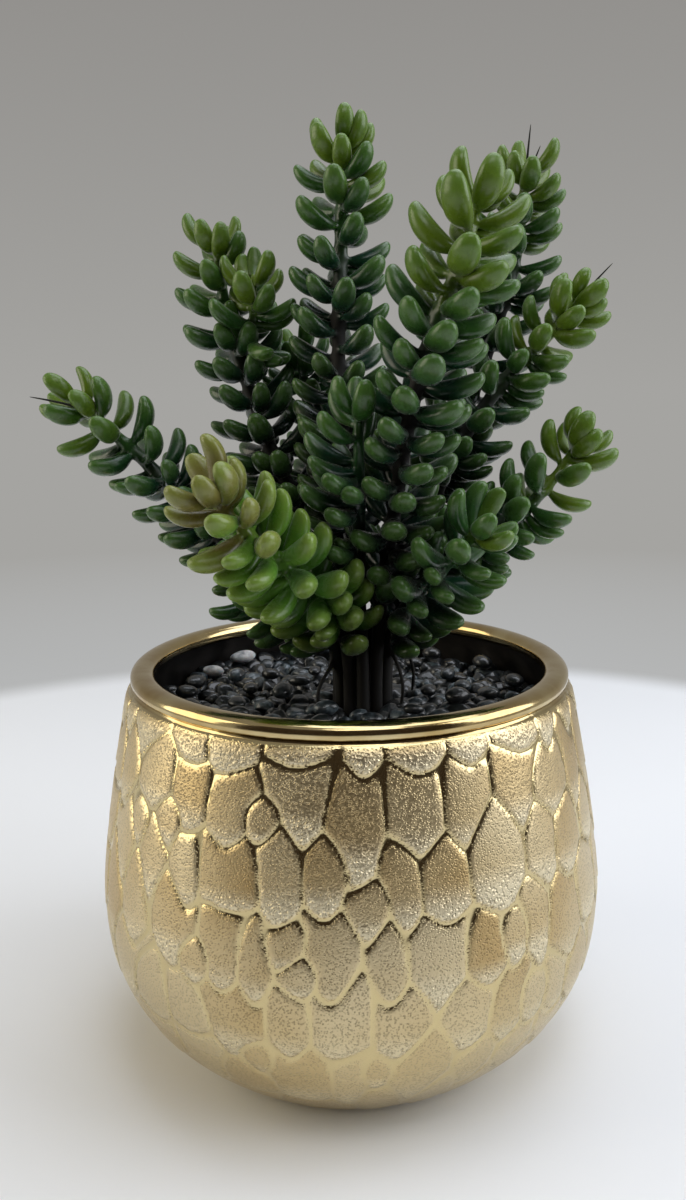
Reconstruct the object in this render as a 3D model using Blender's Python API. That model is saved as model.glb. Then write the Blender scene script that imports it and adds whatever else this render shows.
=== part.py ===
"""Watch chain plant in a gold ceramic pot, in metres, +Z up.

The origin is on the pot's axis, on the underside of its foot. The pot is one turned shell. Potting mix
fills it, a ring of gravel lies on the mix, loose pebbles lie on the gravel, and a tight bundle of stems
stands in a planting hole in the middle. Every stem is one grown piece with its leaves and roots.
"""

import math

import bmesh
import bpy
import numpy as np
from mathutils import Vector

MM = 0.001

# Pot, from the foot up.
POT_HEIGHT = 117 * MM
FOOT_RADIUS = 47 * MM
BELLY_RADIUS = 75 * MM
BELLY_HEIGHT = 52.5 * MM
RIM_RADIUS = 64.4 * MM
LIP_WIDTH = 7 * MM
LIP_HEIGHT = 5 * MM
WALL = 5.5 * MM
FLOOR = 7 * MM
FLOOR_FILLET = 6 * MM
BELOW_BELLY_CURVE = 2.7
ABOVE_BELLY_CURVE = 1.35
POT_SIDES = 40
RINGS_BELOW_BELLY = (0.0, 0.04, 0.12, 0.24, 0.43, 0.7)
RINGS_ABOVE_BELLY = (0.0, 0.28, 0.62, 1.0)
RINGS_INSIDE = 6

# What fills the pot, measured down from the rim.
GRAVEL_DEPTH_BELOW_RIM = 13 * MM
GRAVEL_THICKNESS = 8 * MM
GRAVEL_BUMP = 0.8 * MM
GRAVEL_RINGS = (1.0, 0.82, 0.55, 0.28, 0.0)
CLEARANCE = 0.3 * MM

# Loose stones on the gravel.
STONE_COUNT = 42
PEBBLE_LENGTH = (6.5 * MM, 10 * MM)
PEBBLE_SPACING = 10.4 * MM
PEBBLE_WIDTH_SHARE = (0.65, 0.85)
PEBBLE_HEIGHT_SHARE = (0.45, 0.65)
PEBBLE_CORNERS = 14
PEBBLE_WEAR = (0.88, 1.0)
PEBBLE_TO_WALL = 2 * MM
PEBBLE_TO_BUNDLE = 1 * MM
WHITE_STONES = (
    {"place": (-36 * MM, 39 * MM), "size": (12 * MM, 6.5 * MM, 4.5 * MM), "turn": 40},
    {"place": (-44 * MM, 22 * MM), "size": (9 * MM, 5.5 * MM, 4 * MM), "turn": -25},
)

# The bundle of stems where it stands in the planting hole: one in the middle, a ring of slots round it.
BUNDLE_CENTRE = (4 * MM, 0.0)
BUNDLE_SLOTS = 11
BUNDLE_GAP = 0.37 * MM
FIRST_SLOT_TURN = math.radians(8)
STEM_RADIUS = 1.9 * MM
ROUTES_DRAWN_FOR_STEM_RADIUS = 1.9 * MM
TIP_RADIUS = 1.0 * MM
STEM_SIDES = 5
BARE_RING_SPACING = 8 * MM
HOLE_DEPTH = 16 * MM
HOLE_SIDES = 16
COLLAR_ABOVE_GRAVEL = 12 * MM

# Leaves.
LEAF_SPACING = 2.2 * MM
TIP_SPACING = 1.3 * MM
TIP_REACH = 12 * MM
LEAF_LENGTH = 13.2 * MM
LEAF_WIDTH = 5.8 * MM
LEAF_THICKNESS = 4.5 * MM
GOLDEN_ANGLE = math.radians(137.508)
FIRST_LEAF_TURN = 1.3
LEAF_PITCH_AT_ROOT = math.radians(82)
LEAF_PITCH_AT_END = math.radians(52)
TIP_PITCH_AT_ROOT = math.radians(50)
TIP_PITCH_AT_END = math.radians(12)
LEAF_CLEARANCE = 0.25 * MM
OWN_LEAF_SQUEEZE = 2.2 * MM
TIP_LEAF_SHARE = 0.85
SQUARE_SECTION = 0.85
LEAF_TURN_SPREAD = math.radians(8)
LEAF_LENGTH_SPREAD = (0.9, 1.08)
# How full a leaf is at shares of its length: the loops that draw it, and the balls that keep it clear.
LEAF_LOOPS = ((0.42, 0.94), (0.84, 0.86))
LEAF_BALLS = ((0.1, 0.5), (0.35, 0.88), (0.62, 1.0), (0.86, 0.78))
# What a leaf tries in turn to stay clear: degrees round the stem, degrees of lift, and share of its length.
LEAF_TRIES = ((0, 0, 1.0), (22, 0, 1.0), (-22, 0, 1.0), (0, 24, 0.95), (0, 30, 0.8), (0, 0, 0.72))

ROOT_RADIUS = 0.55 * MM
ROOT_BOW = 4 * MM
ROOT_LOOPS = (0.12, 0.35, 0.6, 0.85)

# Each stem, in millimetres: its slot in the ring (None is the middle), the points that its centre line
# passes after it leaves the bundle, with heights above the rim, how far above the gravel its leaves begin,
# how big they are beside the usual ones, how closely they crowd, and where its aerial roots touch down.
# The front stems come first, so that their leaves find room before those behind.
STEMS = {
    "stem_front_lime": {
        "slot": 7,
        "crowding": 0.8,
        "route": [(-3, -12, 15), (-10, -23, 25), (-18, -35, 35), (-26, -42, 44), (-34, -46, 54)],
        "bare": 22,
        "leaf": 1.14,
    },
    "stem_front_right": {
        "slot": 9,
        "crowding": 0.9,
        "route": [(10, -12, 26), (13, -22, 49), (16, -30, 71), (21, -35, 91), (29, -37, 111), (32, -36, 123)],
        "bare": 32,
        "leaf": 1.12,
    },
    "stem_centre_front": {
        "slot": 8,
        "route": [(3, -11, 21), (3, -20, 41), (3, -27, 59), (3, -29, 73)],
        "bare": 38,
        "leaf": 1.08,
    },
    "stem_right_front": {
        "slot": 10,
        "route": [(13, -8, 11), (19, -18, 23), (27, -27, 33), (34, -34, 43)],
        "bare": 22,
        "leaf": 1.12,
        "roots": [(15, -10)],
    },
    "stem_centre_tall": {
        "slot": None,
        "route": [(3, -1, 21), (0, -2, 48), (-2, -3, 73), (-2, -3, 98), (-1, -1, 123), (-1, 0, 144)],
        "bare": 34,
        "leaf": 1.0,
    },
    "stem_left_tall": {
        "slot": 4,
        "route": [(-4, 5, 20), (-12, 6, 41), (-21, 8, 58), (-28, 11, 77), (-34, 13, 96), (-38, 15, 121)],
        "bare": 24,
        "leaf": 1.0,
    },
    "stem_left_arching": {
        "slot": 5,
        "route": [(-7, 0, 13), (-18, -3, 22), (-32, -5, 33), (-47, -6, 48), (-60, -6, 62), (-77, -5, 76)],
        "bare": 26,
        "leaf": 1.0,
    },
    "stem_right_tall": {
        "slot": 2,
        "route": [(10, 8, 19), (22, 11, 41), (35, 16, 69), (43, 19, 91), (50, 20, 115), (53, 20, 142)],
        "bare": 30,
        "leaf": 0.97,
    },
    "stem_right_upper": {
        "slot": 1,
        "route": [(13, 4, 17), (21, 4, 36), (32, 4, 61), (45, 5, 80), (57, 5, 92), (66, 5, 103)],
        "bare": 26,
        "leaf": 0.95,
        "roots": [(19, 3)],
    },
    "stem_right_lower": {
        "slot": 0,
        "route": [(14, -1, 11), (24, -4, 26), (36, -7, 36), (49, -8, 44), (58, -7, 53), (65, -6, 63)],
        "bare": 24,
        "leaf": 1.0,
    },
    "stem_left_low": {
        "slot": 6,
        "route": [(-7, -7, 10), (-17, -12, 17), (-29, -16, 22)],
        "bare": 18,
        "leaf": 1.0,
        "roots": [(-13, -6), (-9, -11)],
    },
    "stem_back": {
        "slot": 3,
        "route": [(0, 9, 25), (-6, 15, 48), (-11, 19, 69), (-14, 21, 90)],
        "bare": 28,
        "leaf": 0.95,
    },
}
SIDE_SHOOT = {
    "grows_from": "stem_left_tall",
    "at": 0.72,
    "elbow": (0.8, 0.8, 0.3),
    "tip": (-26, 4, 110),
    "bare": 4,
    "leaf": 0.95,
    "thinness": 0.8,
}

COLOURS = {
    "gold": ((0.60, 0.45, 0.20), 0.32, 1.0),
    "potting_mix": ((0.03, 0.02, 0.015), 0.95, 0.0),
    "gravel": ((0.02, 0.02, 0.022), 0.35, 0.0),
    "white_stone": ((0.75, 0.75, 0.73), 0.5, 0.0),
    "leaf_green": ((0.10, 0.22, 0.10), 0.38, 0.0),
    "leaf_lime": ((0.30, 0.42, 0.10), 0.38, 0.0),
}


def clear_scene():
    for old in list(bpy.data.objects):
        bpy.data.objects.remove(old)


def material(name):
    """A Principled material from the table of colours, made once."""
    if name in bpy.data.materials:
        return bpy.data.materials[name]
    colour, roughness, metallic = COLOURS[name]
    made = bpy.data.materials.new(name)
    made.use_nodes = True
    shader = made.node_tree.nodes["Principled BSDF"]
    shader.inputs["Base Color"].default_value = (*colour, 1.0)
    shader.inputs["Roughness"].default_value = roughness
    shader.inputs["Metallic"].default_value = metallic
    made.diffuse_color = (*colour, 1.0)
    return made


def add_object(name, shape, finish, place=(0.0, 0.0, 0.0), turn=0.0):
    """Puts a bmesh in the scene as a smooth-shaded object with one material."""
    bmesh.ops.recalc_face_normals(shape, faces=shape.faces)
    mesh = bpy.data.meshes.new(name)
    shape.to_mesh(mesh)
    shape.free()
    mesh.shade_smooth()
    mesh.set_sharp_from_angle(angle=math.radians(40))
    mesh.materials.append(material(finish))
    made = bpy.data.objects.new(name, mesh)
    made.location = place
    made.rotation_euler = (0.0, 0.0, turn)
    bpy.context.scene.collection.objects.link(made)
    return made


def turned(profile, sides, closed_loop=False):
    """A body turned about Z from (radius, height) points. Points on the axis become a pole."""
    shape = bmesh.new()
    rings = []
    for radius, height in profile:
        if radius == 0.0:
            rings.append([shape.verts.new((0.0, 0.0, height))] * sides)
            continue
        angles = [2 * math.pi * side / sides for side in range(sides)]
        rings.append([shape.verts.new((radius * math.cos(a), radius * math.sin(a), height)) for a in angles])
    pairs = list(zip(rings, rings[1:]))
    if closed_loop:
        pairs.append((rings[-1], rings[0]))
    for lower, upper in pairs:
        for side in range(sides):
            after = (side + 1) % sides
            corners = [lower[side], lower[after], upper[after], upper[side]]
            shape.faces.new(list(dict.fromkeys(corners)))
    return shape


def pot_radius(height):
    """Outer radius of the pot at a height: full at the belly, drawn in to the foot and to the rim."""
    if height < BELLY_HEIGHT:
        share = (1 - height / BELLY_HEIGHT) ** BELOW_BELLY_CURVE
        return BELLY_RADIUS - (BELLY_RADIUS - FOOT_RADIUS) * share
    share = ((height - BELLY_HEIGHT) / (POT_HEIGHT - BELLY_HEIGHT)) ** ABOVE_BELLY_CURVE
    return BELLY_RADIUS - (BELLY_RADIUS - RIM_RADIUS) * share


def inner_radius(height):
    return pot_radius(height) - WALL


def inner_wall_heights():
    """Ring heights of the inner wall from the floor's fillet up to the potting mix, which shares them."""
    return list(np.linspace(FLOOR + FLOOR_FILLET, soil_top(), RINGS_INSIDE))


def make_pot():
    lip_base = POT_HEIGHT - LIP_HEIGHT
    lip_inside = RIM_RADIUS - LIP_WIDTH
    lip_middle = RIM_RADIUS - LIP_WIDTH / 2
    shoulder = LIP_WIDTH * 0.3
    outer_heights = [BELLY_HEIGHT * share for share in RINGS_BELOW_BELLY]
    outer_heights += [BELLY_HEIGHT + (lip_base - BELLY_HEIGHT) * share for share in RINGS_ABOVE_BELLY]
    inner_heights = inner_wall_heights() + [gravel_top(), lip_base - LIP_HEIGHT]
    profile = [(0.0, 0.0)]
    profile += [(pot_radius(height), height) for height in outer_heights]
    profile += [
        (RIM_RADIUS, POT_HEIGHT - LIP_HEIGHT * 0.4),
        (lip_middle + shoulder, POT_HEIGHT),
        (lip_middle - shoulder, POT_HEIGHT),
        (lip_inside, POT_HEIGHT - LIP_HEIGHT * 0.5),
    ]
    profile += [(inner_radius(height), height) for height in inner_heights[::-1]]
    profile += [(inner_radius(inner_heights[0]) - FLOOR_FILLET, FLOOR), (0.0, FLOOR)]
    add_object("pot", turned(profile, POT_SIDES), "gold")


def gravel_top():
    return POT_HEIGHT - GRAVEL_DEPTH_BELOW_RIM


def soil_top():
    return gravel_top() - GRAVEL_THICKNESS


def bundle_ring(stem_radius=STEM_RADIUS):
    """Radius of the ring of slots, on which neighbouring stems stand a small gap apart."""
    return (stem_radius + BUNDLE_GAP / 2) / math.sin(math.pi / BUNDLE_SLOTS)


def hole_radius():
    return bundle_ring() + STEM_RADIUS + CLEARANCE


def hole_floor():
    return soil_top() - HOLE_DEPTH


def make_potting_mix():
    """Fills the pot up to the gravel, with a planting hole round the bundle of stems."""
    bottom = FLOOR + CLEARANCE
    heights = inner_wall_heights()
    side = [(inner_radius(height) - 2 * CLEARANCE, height) for height in heights]
    side[0] = (side[0][0], bottom + FLOOR_FILLET)
    foot = side[0][0] - FLOOR_FILLET - CLEARANCE
    profile = [(0.0, bottom), (foot, bottom)] + side + [(0.0, soil_top())]
    mix = add_object("potting_mix", turned(profile, POT_SIDES), "potting_mix")
    floor, top, radius = hole_floor(), POT_HEIGHT, hole_radius()
    hole = turned([(0.0, floor), (radius, floor), (radius, top), (0.0, top)], HOLE_SIDES)
    bmesh.ops.translate(hole, verts=hole.verts, vec=(*BUNDLE_CENTRE, 0.0))
    cut_with(mix, add_object("planting_hole", hole, "potting_mix"))


def cut_with(solid, cutter, operation="DIFFERENCE"):
    cutter.hide_render = True
    cutter.display_type = "WIRE"
    cut = solid.modifiers.new(cutter.name, "BOOLEAN")
    cut.operation = operation
    cut.object = cutter


def make_gravel_bed(dice):
    """The packed gravel as one bumpy ring that lies on the potting mix, open round the stems."""
    sides = POT_SIDES // 2
    bottom = soil_top() + CLEARANCE
    outside = inner_radius(gravel_top()) - 3 * CLEARANCE
    inside = hole_radius()
    loops = [(inside, bottom), (outside, bottom)]
    loops += [(inside + (outside - inside) * share, gravel_top()) for share in GRAVEL_RINGS]
    shape = bmesh.new()
    rings = []
    for radius, height in loops:
        share = (radius - inside) / (outside - inside)
        centre = Vector((*BUNDLE_CENTRE, 0.0)) * (1 - share)
        ring = []
        for side in range(sides):
            angle = 2 * math.pi * side / sides
            bump = 0.0 if height == bottom else dice.uniform(-GRAVEL_BUMP, GRAVEL_BUMP)
            offset = Vector((radius * math.cos(angle), radius * math.sin(angle), height + bump))
            ring.append(shape.verts.new(centre + offset))
        rings.append(ring)
    for lower, upper in zip(rings, rings[1:] + rings[:1]):
        for side in range(sides):
            after = (side + 1) % sides
            shape.faces.new([lower[side], lower[after], upper[after], upper[side]])
    add_object("gravel_bed", shape, "gravel")


def make_pebble(name, size, place, turn, finish, dice):
    """One water-worn stone: the hull of points spread over an ellipsoid, laid on the gravel."""
    shape = bmesh.new()
    for corner in range(PEBBLE_CORNERS):
        height = 1 - 2 * (corner + 0.5) / PEBBLE_CORNERS
        around = corner * GOLDEN_ANGLE
        ring = math.sqrt(1 - height * height)
        wear = dice.uniform(*PEBBLE_WEAR)
        point = Vector((ring * math.cos(around), ring * math.sin(around), height)) * wear
        shape.verts.new(Vector(np.multiply(point, size) / 2))
    bmesh.ops.convex_hull(shape, input=shape.verts)
    lowest = min(vert.co.z for vert in shape.verts)
    rest = gravel_top() + GRAVEL_BUMP + CLEARANCE - lowest
    add_object(name, shape, finish, (*place, rest), turn)


def pebble_places(dice):
    """Places spread over the gravel, clear of the bundle, of the wall and of each other."""
    reach = inner_radius(gravel_top()) - PEBBLE_LENGTH[1] / 2 - PEBBLE_TO_WALL
    places = [stone["place"] for stone in WHITE_STONES]
    while len(places) < STONE_COUNT:
        distance = reach * math.sqrt(dice.uniform(0.0, 1.0))
        angle = dice.uniform(0.0, 2 * math.pi)
        place = (distance * math.cos(angle), distance * math.sin(angle))
        from_bundle = math.dist(place, BUNDLE_CENTRE) - hole_radius() - PEBBLE_LENGTH[1] / 2
        nearest = min(math.dist(place, other) for other in places)
        if from_bundle > PEBBLE_TO_BUNDLE and nearest > PEBBLE_SPACING:
            places.append(place)
    return places[len(WHITE_STONES) :]


def make_pebbles(dice):
    for number, stone in enumerate(WHITE_STONES, 1):
        turn = math.radians(stone["turn"])
        make_pebble(f"white_stone_{number}", stone["size"], stone["place"], turn, "white_stone", dice)
    for number, place in enumerate(pebble_places(dice), 1):
        length = dice.uniform(*PEBBLE_LENGTH)
        width = length * dice.uniform(*PEBBLE_WIDTH_SHARE)
        height = length * dice.uniform(*PEBBLE_HEIGHT_SHARE)
        turn = dice.uniform(0.0, math.pi)
        make_pebble(f"pebble_{number:02d}", (length, width, height), place, turn, "gravel", dice)


def smooth_route(points):
    """Fine points on a Catmull-Rom curve through the given ones, and how far along it each lies."""
    points = [np.array(point, float) for point in points]
    ends = [2 * points[0] - points[1]] + points + [2 * points[-1] - points[-2]]
    fine = []
    for a, b, c, d in zip(ends, ends[1:], ends[2:], ends[3:]):
        for t in np.linspace(0.0, 1.0, 24, endpoint=False):
            linear = (c - a) * t
            square = (2 * a - 5 * b + 4 * c - d) * t**2
            cube = (3 * b - 3 * c + d - a) * t**3
            fine.append((2 * b + linear + square + cube) / 2)
    fine.append(points[-1])
    fine = np.array(fine)
    run = np.concatenate([[0.0], np.cumsum(np.linalg.norm(np.diff(fine, axis=0), axis=1))])
    return fine, run


def station_distances(total, bare, crowding):
    """Distances along a stem where its rings lie: wide apart low down, then a leaf apart, then close."""
    distances = list(np.linspace(0.0, bare, max(2, round(bare / BARE_RING_SPACING) + 1)))
    while distances[-1] < total:
        left = total - distances[-1]
        closeness = min(1.0, left / TIP_REACH)
        distances.append(distances[-1] + (TIP_SPACING + (LEAF_SPACING - TIP_SPACING) * closeness) * crowding)
    return [distance * total / distances[-1] if distance > bare else distance for distance in distances]


def points_at(distances, fine, run):
    return np.array([[np.interp(d, run, fine[:, axis]) for axis in range(3)] for d in distances])


def frames_along(centres):
    """A tangent and two side directions at each centre, carried along without twist."""
    tangents = np.gradient(centres, axis=0)
    tangents /= np.linalg.norm(tangents, axis=1)[:, None]
    side = np.cross(tangents[0], (0.0, 1.0, 0.0))
    frames = []
    for tangent in tangents:
        side = side - tangent * side.dot(tangent)
        side /= np.linalg.norm(side)
        frames.append((tangent, side, np.cross(tangent, side)))
    return frames


class Stem:
    """The rings of one stem and the leaves that grow from its facets."""

    def __init__(self, points, bare, scale, first_turn, crowding=1.0):
        fine, run = smooth_route(points)
        self.length = run[-1]
        distances = station_distances(self.length, bare, crowding)
        self.centres = points_at(distances, fine, run)
        self.bare_line = points_at(np.arange(0.0, self.length, STEM_RADIUS / 2), fine, run)
        self.to_tip = self.length - np.array(distances)
        self.frames = frames_along(self.centres)
        taper = np.clip(self.to_tip / (2 * TIP_REACH), 0.0, 1.0)
        self.radii = TIP_RADIUS + (STEM_RADIUS - TIP_RADIUS) * taper
        self.first_leaf = int(np.searchsorted(distances, bare - 0.01 * MM))
        self.scale = scale
        self.first_turn = first_turn
        self.leaves = {}
        self.roots = []

    def facet_towards(self, turn):
        return int(turn // (2 * math.pi / STEM_SIDES)) % STEM_SIDES

    def leaf_at(self, band, turn, length_share, lift):
        """The centre line, side, face and size of a leaf on the band between two rings."""
        tangent, side, cross = self.frames[band]
        outward = side * math.cos(turn) + cross * math.sin(turn)
        sideways = cross * math.cos(turn) - side * math.sin(turn)
        youth = 1 - min(1.0, self.to_tip[band] / TIP_REACH)
        root_pitch = LEAF_PITCH_AT_ROOT + (TIP_PITCH_AT_ROOT - LEAF_PITCH_AT_ROOT) * youth - lift
        end_pitch = LEAF_PITCH_AT_END + (TIP_PITCH_AT_END - LEAF_PITCH_AT_END) * youth - lift
        start = tangent * math.cos(root_pitch) + outward * math.sin(root_pitch)
        finish = tangent * math.cos(end_pitch) + outward * math.sin(end_pitch)
        size = self.scale * (1 - (1 - TIP_LEAF_SHARE) * youth) * length_share
        root = (self.centres[band] + self.centres[band + 1]) / 2 + outward * self.radii[band] * 0.7
        return {
            "root": root,
            "start": start * LEAF_LENGTH * size,
            "bend": (finish - start) * LEAF_LENGTH * size / 2,
            "side": sideways,
            "half_width": LEAF_WIDTH * size / 2,
            "half_thickness": LEAF_THICKNESS * size / 2,
            "facet": self.facet_towards(turn),
        }


def on_leaf(leaf, share):
    """A point on a leaf's centre line and the direction it runs in there."""
    point = leaf["root"] + leaf["start"] * share + leaf["bend"] * share**2
    along = leaf["start"] + 2 * leaf["bend"] * share
    return point, along / np.linalg.norm(along)


def leaf_balls(leaf):
    """Four balls that hold a leaf from its neck to its end, as rows of x, y, z and radius."""
    rows = []
    for share, fullness in LEAF_BALLS:
        point, _ = on_leaf(leaf, share)
        rows.append([*point, leaf["half_width"] * fullness])
    return np.array(rows)


def is_clear(balls, others, gap):
    if not len(others):
        return True
    apart = np.linalg.norm(balls[:, None, :3] - others[None, :, :3], axis=2)
    return bool((apart - balls[:, None, 3] - others[None, :, 3]).min() > gap)


def grow_leaves(stem, own, others, dice):
    """Sets leaves round a stem by the golden angle. One that meets a neighbour turns, lifts or stays away."""
    for band in range(stem.first_leaf, len(stem.centres) - 1):
        turn = stem.first_turn + band * GOLDEN_ANGLE + dice.uniform(-LEAF_TURN_SPREAD, LEAF_TURN_SPREAD)
        length_share = dice.uniform(*LEAF_LENGTH_SPREAD)
        for shift, lift, share in LEAF_TRIES:
            tried = (turn + math.radians(shift)) % (2 * math.pi)
            leaf = stem.leaf_at(band, tried, length_share * share, math.radians(lift))
            balls = leaf_balls(leaf)
            if is_clear(balls, others, LEAF_CLEARANCE) and is_clear(balls, own, -OWN_LEAF_SQUEEZE):
                stem.leaves[band] = leaf
                own = np.vstack([own, balls]) if len(own) else balls
                break
    return own


def stem_balls(stem):
    return np.column_stack([stem.bare_line, np.full(len(stem.bare_line), STEM_RADIUS)])


def limb(shape, base, centres, sides, half_widths, half_thicknesses, pointed):
    """Draws a four-sided limb out of a facet's four corners, along centres with (side, face) directions."""
    loop = base
    for centre, (side, face), width, thickness in zip(centres, sides, half_widths, half_thicknesses):
        offsets = ((-1, -1), (1, -1), (1, 1), (-1, 1))
        after = [shape.verts.new(centre + side * width * u + face * thickness * v) for u, v in offsets]
        for corner in range(4):
            following = (corner + 1) % 4
            shape.faces.new([loop[corner], loop[following], after[following], after[corner]])
        loop = after
    for corner in range(4):
        shape.faces.new([loop[corner], loop[(corner + 1) % 4], pointed])


def add_leaf(shape, base, leaf):
    centres, sides, widths, thicknesses = [], [], [], []
    for share, fullness in LEAF_LOOPS:
        centre, along = on_leaf(leaf, share)
        centres.append(centre)
        sides.append((leaf["side"], np.cross(along, leaf["side"])))
        widths.append(leaf["half_width"] * fullness * SQUARE_SECTION)
        thicknesses.append(leaf["half_thickness"] * fullness * SQUARE_SECTION)
    end, _ = on_leaf(leaf, 1.0)
    limb(shape, base, centres, sides, widths, thicknesses, shape.verts.new(end))


def add_root(shape, base, root):
    """A thin aerial root that leaves a facet, bows out and touches down on the gravel."""
    start = np.mean([vert.co for vert in base], axis=0)
    end = np.array(root["end"])
    out = np.array(root["outward"])
    points = []
    for share in ROOT_LOOPS:
        bow = out * ROOT_BOW * math.sin(math.pi * share)
        points.append(start + (end - start) * share + bow)
    level = np.cross(out, (0.0, 0.0, 1.0))
    level /= np.linalg.norm(level)
    sides = []
    for before, after in zip([start] + points, points + [end]):
        along = (after - before) / np.linalg.norm(after - before)
        sides.append((-level, np.cross(along, -level)))
    radii = [ROOT_RADIUS] * len(points)
    limb(shape, base, points, sides, radii, radii, shape.verts.new(end))


def stem_shape(stem):
    """One closed body: the stem's rings, with every leaf and root drawn out of a facet."""
    shape = bmesh.new()
    rings = []
    for centre, radius, (_, side, cross) in zip(stem.centres, stem.radii, stem.frames):
        turns = [2 * math.pi * facet / STEM_SIDES for facet in range(STEM_SIDES)]
        spokes = [side * math.cos(turn) + cross * math.sin(turn) for turn in turns]
        rings.append([shape.verts.new(centre + spoke * radius) for spoke in spokes])
    shape.faces.new(rings[0][::-1])
    roots = {(root["band"], root["facet"]): root for root in stem.roots}
    for band, (lower, upper) in enumerate(zip(rings, rings[1:])):
        for facet in range(STEM_SIDES):
            after = (facet + 1) % STEM_SIDES
            corners = [lower[facet], lower[after], upper[after], upper[facet]]
            leaf = stem.leaves.get(band)
            if leaf and leaf["facet"] == facet:
                add_leaf(shape, corners, leaf)
            elif (band, facet) in roots:
                add_root(shape, corners, roots[(band, facet)])
            else:
                shape.faces.new(corners)
    apex = shape.verts.new(stem.centres[-1] + stem.frames[-1][0] * TIP_RADIUS)
    for facet in range(STEM_SIDES):
        shape.faces.new([rings[-1][facet], rings[-1][(facet + 1) % STEM_SIDES], apex])
    return shape


def above_rim(point):
    """A route's point, in millimetres and above the rim, in the part's metres. Thicker stems push it out."""
    x, y, height = point
    out = Vector((x * MM, y * MM)) - Vector(BUNDLE_CENTRE)
    push = out.normalized() * (bundle_ring() - bundle_ring(ROUTES_DRAWN_FOR_STEM_RADIUS))
    return (x * MM + push.x, y * MM + push.y, POT_HEIGHT + height * MM)


def plan_stem(plan, number):
    """A stem from its foot in the planting hole, up through the bundle and along its route."""
    foot_x, foot_y = BUNDLE_CENTRE
    if plan["slot"] is not None:
        turn = FIRST_SLOT_TURN + plan["slot"] * 2 * math.pi / BUNDLE_SLOTS
        foot_x += bundle_ring() * math.cos(turn)
        foot_y += bundle_ring() * math.sin(turn)
    foot = (foot_x, foot_y, hole_floor() + CLEARANCE)
    middle = (foot_x, foot_y, soil_top())
    collar = (foot_x, foot_y, gravel_top() + COLLAR_ABOVE_GRAVEL)
    route = [above_rim(point) for point in plan["route"]]
    bare = gravel_top() - foot[2] + plan["bare"] * MM
    crowding = plan.get("crowding", 1.0)
    return Stem([foot, middle, collar] + route, bare, plan["leaf"], number * FIRST_LEAF_TURN, crowding)


def plan_roots(stem, plan):
    """Sets each aerial root on the facet of the bare stem that faces its landing place."""
    collar = gravel_top() + COLLAR_ABOVE_GRAVEL
    band = int(np.searchsorted(stem.centres[:, 2], collar))
    for order, (x, y) in enumerate(plan.get("roots", [])):
        end = (x * MM, y * MM, gravel_top() + GRAVEL_BUMP + CLEARANCE)
        toward = np.array(end) - stem.centres[band - order]
        toward[2] = 0.0
        toward /= np.linalg.norm(toward)
        _, side, cross = stem.frames[band - order]
        facet = stem.facet_towards(math.atan2(toward.dot(cross), toward.dot(side)) % (2 * math.pi))
        stem.roots.append({"band": band - order, "facet": facet, "end": end, "outward": toward})


def make_plant(dice):
    """Plans every stem first, so that leaves can keep clear of the stems, then grows and draws them."""
    stems = {name: plan_stem(plan, number) for number, (name, plan) in enumerate(STEMS.items())}
    parent = stems[SIDE_SHOOT["grows_from"]]
    ring = int(SIDE_SHOOT["at"] * len(parent.centres))
    start = parent.centres[ring]
    tip = np.array(above_rim(SIDE_SHOOT["tip"]))
    elbow = start + (tip - start) * SIDE_SHOOT["elbow"]
    shoot = Stem([start, elbow, tip], SIDE_SHOOT["bare"] * MM, SIDE_SHOOT["leaf"], FIRST_LEAF_TURN)
    shoot.radii *= SIDE_SHOOT["thinness"]
    leaf_rows = {name: np.empty((0, 4)) for name in stems}
    for name, stem in stems.items():
        others = [stem_balls(other) for key, other in stems.items() if key != name]
        others += [rows for key, rows in leaf_rows.items() if key != name]
        if name == SIDE_SHOOT["grows_from"]:
            leaf_rows[name] = grow_leaves(shoot, leaf_rows[name], np.vstack(others), dice)
        leaf_rows[name] = grow_leaves(stem, leaf_rows[name], np.vstack(others), dice)
        plan_roots(stem, STEMS[name])
        finish = "leaf_lime" if "lime" in name else "leaf_green"
        grown = add_object(name, stem_shape(stem), finish)
        if name == SIDE_SHOOT["grows_from"]:
            cut_with(grown, add_object("side_shoot", stem_shape(shoot), finish), "UNION")


clear_scene()
make_pot()
make_potting_mix()
make_gravel_bed(np.random.default_rng(11))
make_pebbles(np.random.default_rng(5))
make_plant(np.random.default_rng(23))
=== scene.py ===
# %% [markdown]
# # A plump-leaved succulent in a gold pot
#
# Twelve stems stand in a tight bundle in dark gravel, and each is set all round with leaves like
# jelly beans. The pot is slip-cast ceramic with a gold lustre over a raised scale pattern. The packed
# model gives every place and size. This notebook gives each piece its fine shape and its surface.

import math

import bmesh
import bpy
import numpy as np
from mathutils import Matrix, Vector


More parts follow.
